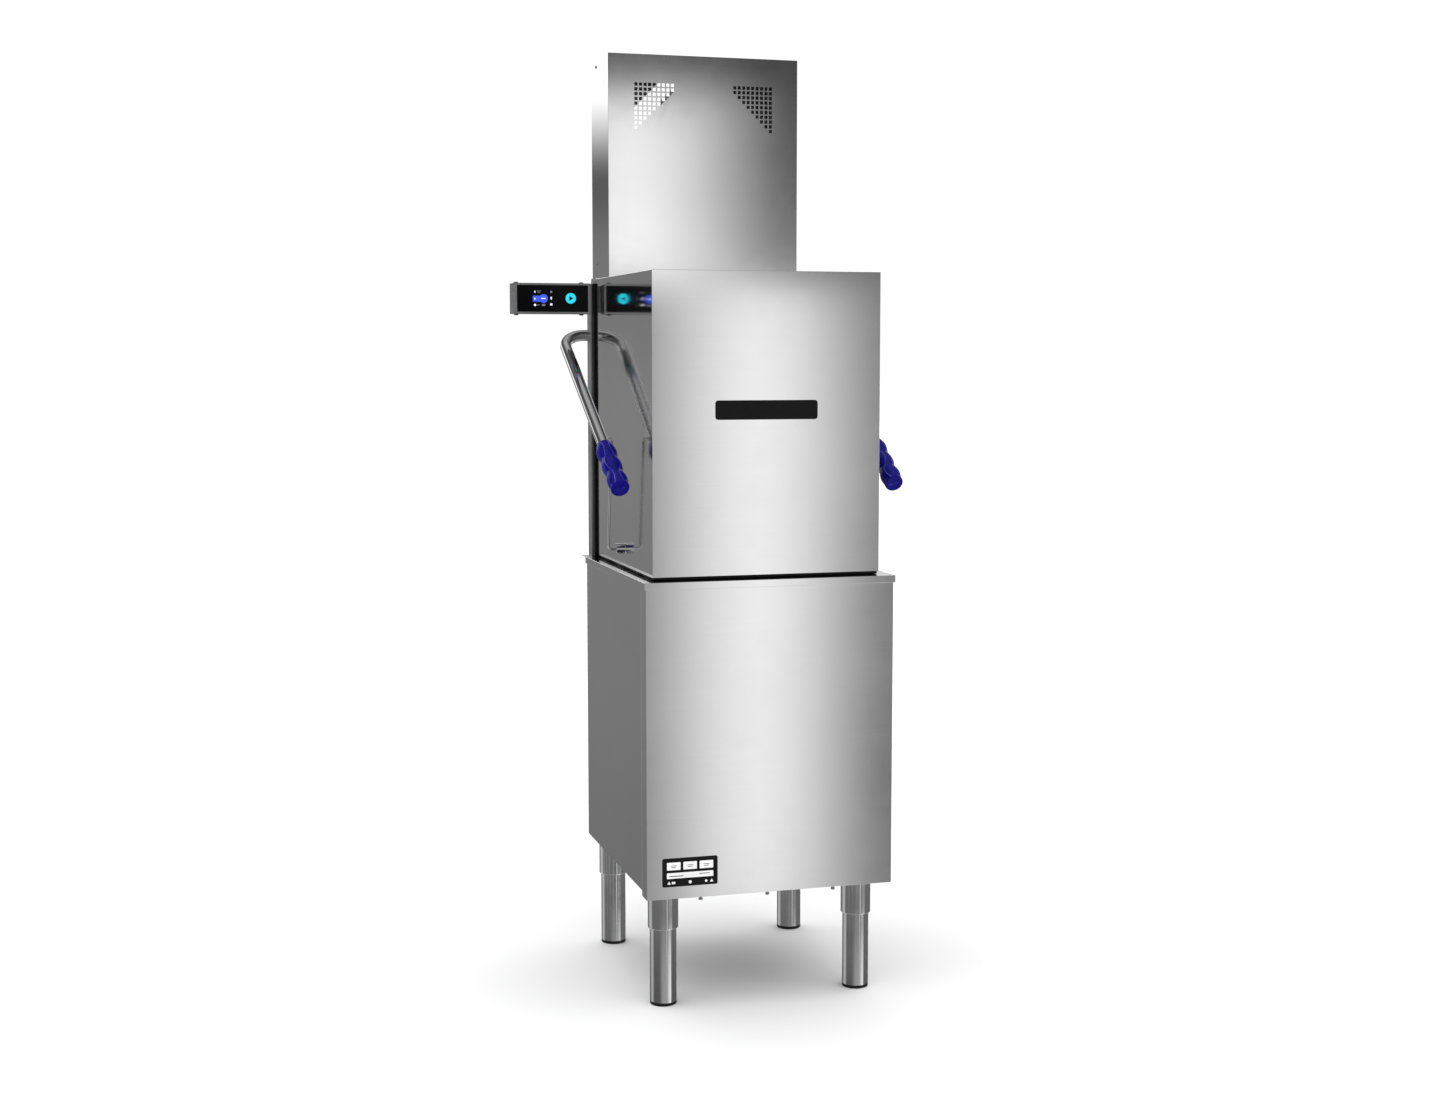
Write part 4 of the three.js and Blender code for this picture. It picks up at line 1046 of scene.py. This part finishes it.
# Brightness of the room by height, and its bright patches; a negative level darkens.
WALLS = ((-0.32, 0.12), (-0.275, 0.20), (-0.15, 0.235), (-0.03, 0.265), (0.05, 0.225), (0.085, 0.12),
         (0.145, 0.07), (0.17, 0.09), (0.26, 0.23), (0.75, 0.25), (0.86, 0.55))
SOFT_BOXES = (
    {"bearings": (15.0, 19.2), "heights": (-0.281, 0.036), "softness": (2.3, 2.1, 0.007, 0.005),
     "level": 1.12},
    {"bearings": (11.2, 15.8), "heights": (0.036, 0.130), "softness": (2.6, 2.6, 0.005, 0.006),
     "level": 1.35},
    {"bearings": (30, 58), "heights": (-0.95, -0.285), "softness": (24, 9, 0.05, 0.012), "level": 1.25},
    {"bearings": (-30, 20), "heights": (-0.95, -0.285), "softness": (22, 12, 0.05, 0.012), "level": 0.35},
    {"bearings": (-146, -108), "heights": (-0.9, -0.2), "softness": (14, 12, 0.1, 0.05), "level": 0.45},
    {"bearings": (105, 150), "heights": (-0.2, 0.3), "softness": (14, 14, 0.04, 0.2), "level": 0.30},
    {"bearings": (146, 200), "heights": (0.113, 0.33), "softness": (4, 4, 0.026, 0.03), "level": 1.5,
     "both_sides": True},
    {"bearings": (118, 160), "heights": (0.40, 0.74), "softness": (8, 8, 0.06, 0.05), "level": -0.14,
     "both_sides": True},
    {"bearings": (-60, 60), "heights": (0.28, 0.80), "softness": (15, 15, 0.08, 0.05), "level": -0.14},
    {"bearings": (30, 58), "heights": (-0.235, 0.5), "softness": (7, 4, 0.015, 0.1), "level": 0.9},
    {"bearings": (-16, 2), "heights": (-0.235, 0.25), "softness": (8, 7, 0.015, 0.1), "level": 0.6},
    {"bearings": (-76, -66), "heights": (-0.2, 0.6), "softness": (4, 4, 0.1, 0.1), "level": 0.7},
    {"bearings": (-40, -26), "heights": (0.2, 0.5), "softness": (5, 5, 0.05, 0.05), "level": 0.8},
    {"bearings": (-52, -38), "heights": (-0.235, 0.25), "softness": (9, 9, 0.015, 0.1), "level": 0.75},
    {"bearings": (84, 98), "heights": (-0.235, 0.25), "softness": (9, 9, 0.015, 0.1), "level": 0.6,
     "both_sides": True},
    {"bearings": (126, 140), "heights": (-0.235, 0.25), "softness": (9, 9, 0.015, 0.1), "level": 0.7,
     "both_sides": True},
    {"bearings": (175, 200), "heights": (-0.235, 0.08), "softness": (5, 5, 0.015, 0.02), "level": 0.5,
     "both_sides": True},
    {"bearings": (25, 155), "heights": (-0.95, -0.36), "softness": (20, 20, 0.05, 0.03), "level": 0.35,
     "both_sides": True},
)


def world():
    """White to the camera, a white dome to matt surfaces, and to the metal a grey room with soft boxes."""
    sky = bpy.data.worlds.new("studio")
    bpy.context.scene.world = sky
    sky.cycles.sampling_method = "NONE"
    sky.use_nodes = True
    room = Room(sky.node_tree)
    total = room.profile(WALLS)
    for box in SOFT_BOXES:
        total = room.math("ADD", total, room.soft_box(**box))
    dome = room.background(room.spread(room.height, 0.2, 0.25, 1.0, 2.2))
    lit_room = room.choose("Is Camera Ray", dome, room.background(WHITE))
    seen = room.choose("Is Glossy Ray", lit_room, room.background(total))
    output = room.nodes.new("ShaderNodeOutputWorld")
    room.links.new(seen, output.inputs["Surface"])


def camera():
    data = bpy.data.cameras.new("camera")
    data.lens = LENS
    data.sensor_width = 36
    data.sensor_fit = "HORIZONTAL"
    data.clip_end = 200
    eye = bpy.data.objects.new("camera", data)
    eye.location = at(*CAMERA_PLACE)
    eye.rotation_euler = (CAMERA_TILT, 0, CAMERA_TURN)
    bpy.context.scene.collection.objects.link(eye)
    bpy.context.scene.camera = eye


dress_cad_nodes()
finish_edges()
leg_pieces()
lift_bar()
grip(-1)
grip(1)
link_rods()
balance_spring()
tower_screws()
control_screws()
panel_screws()
label_print()
screen()
button()
floor()
world()
camera()
bpy.context.scene.view_settings.view_transform = "Standard"
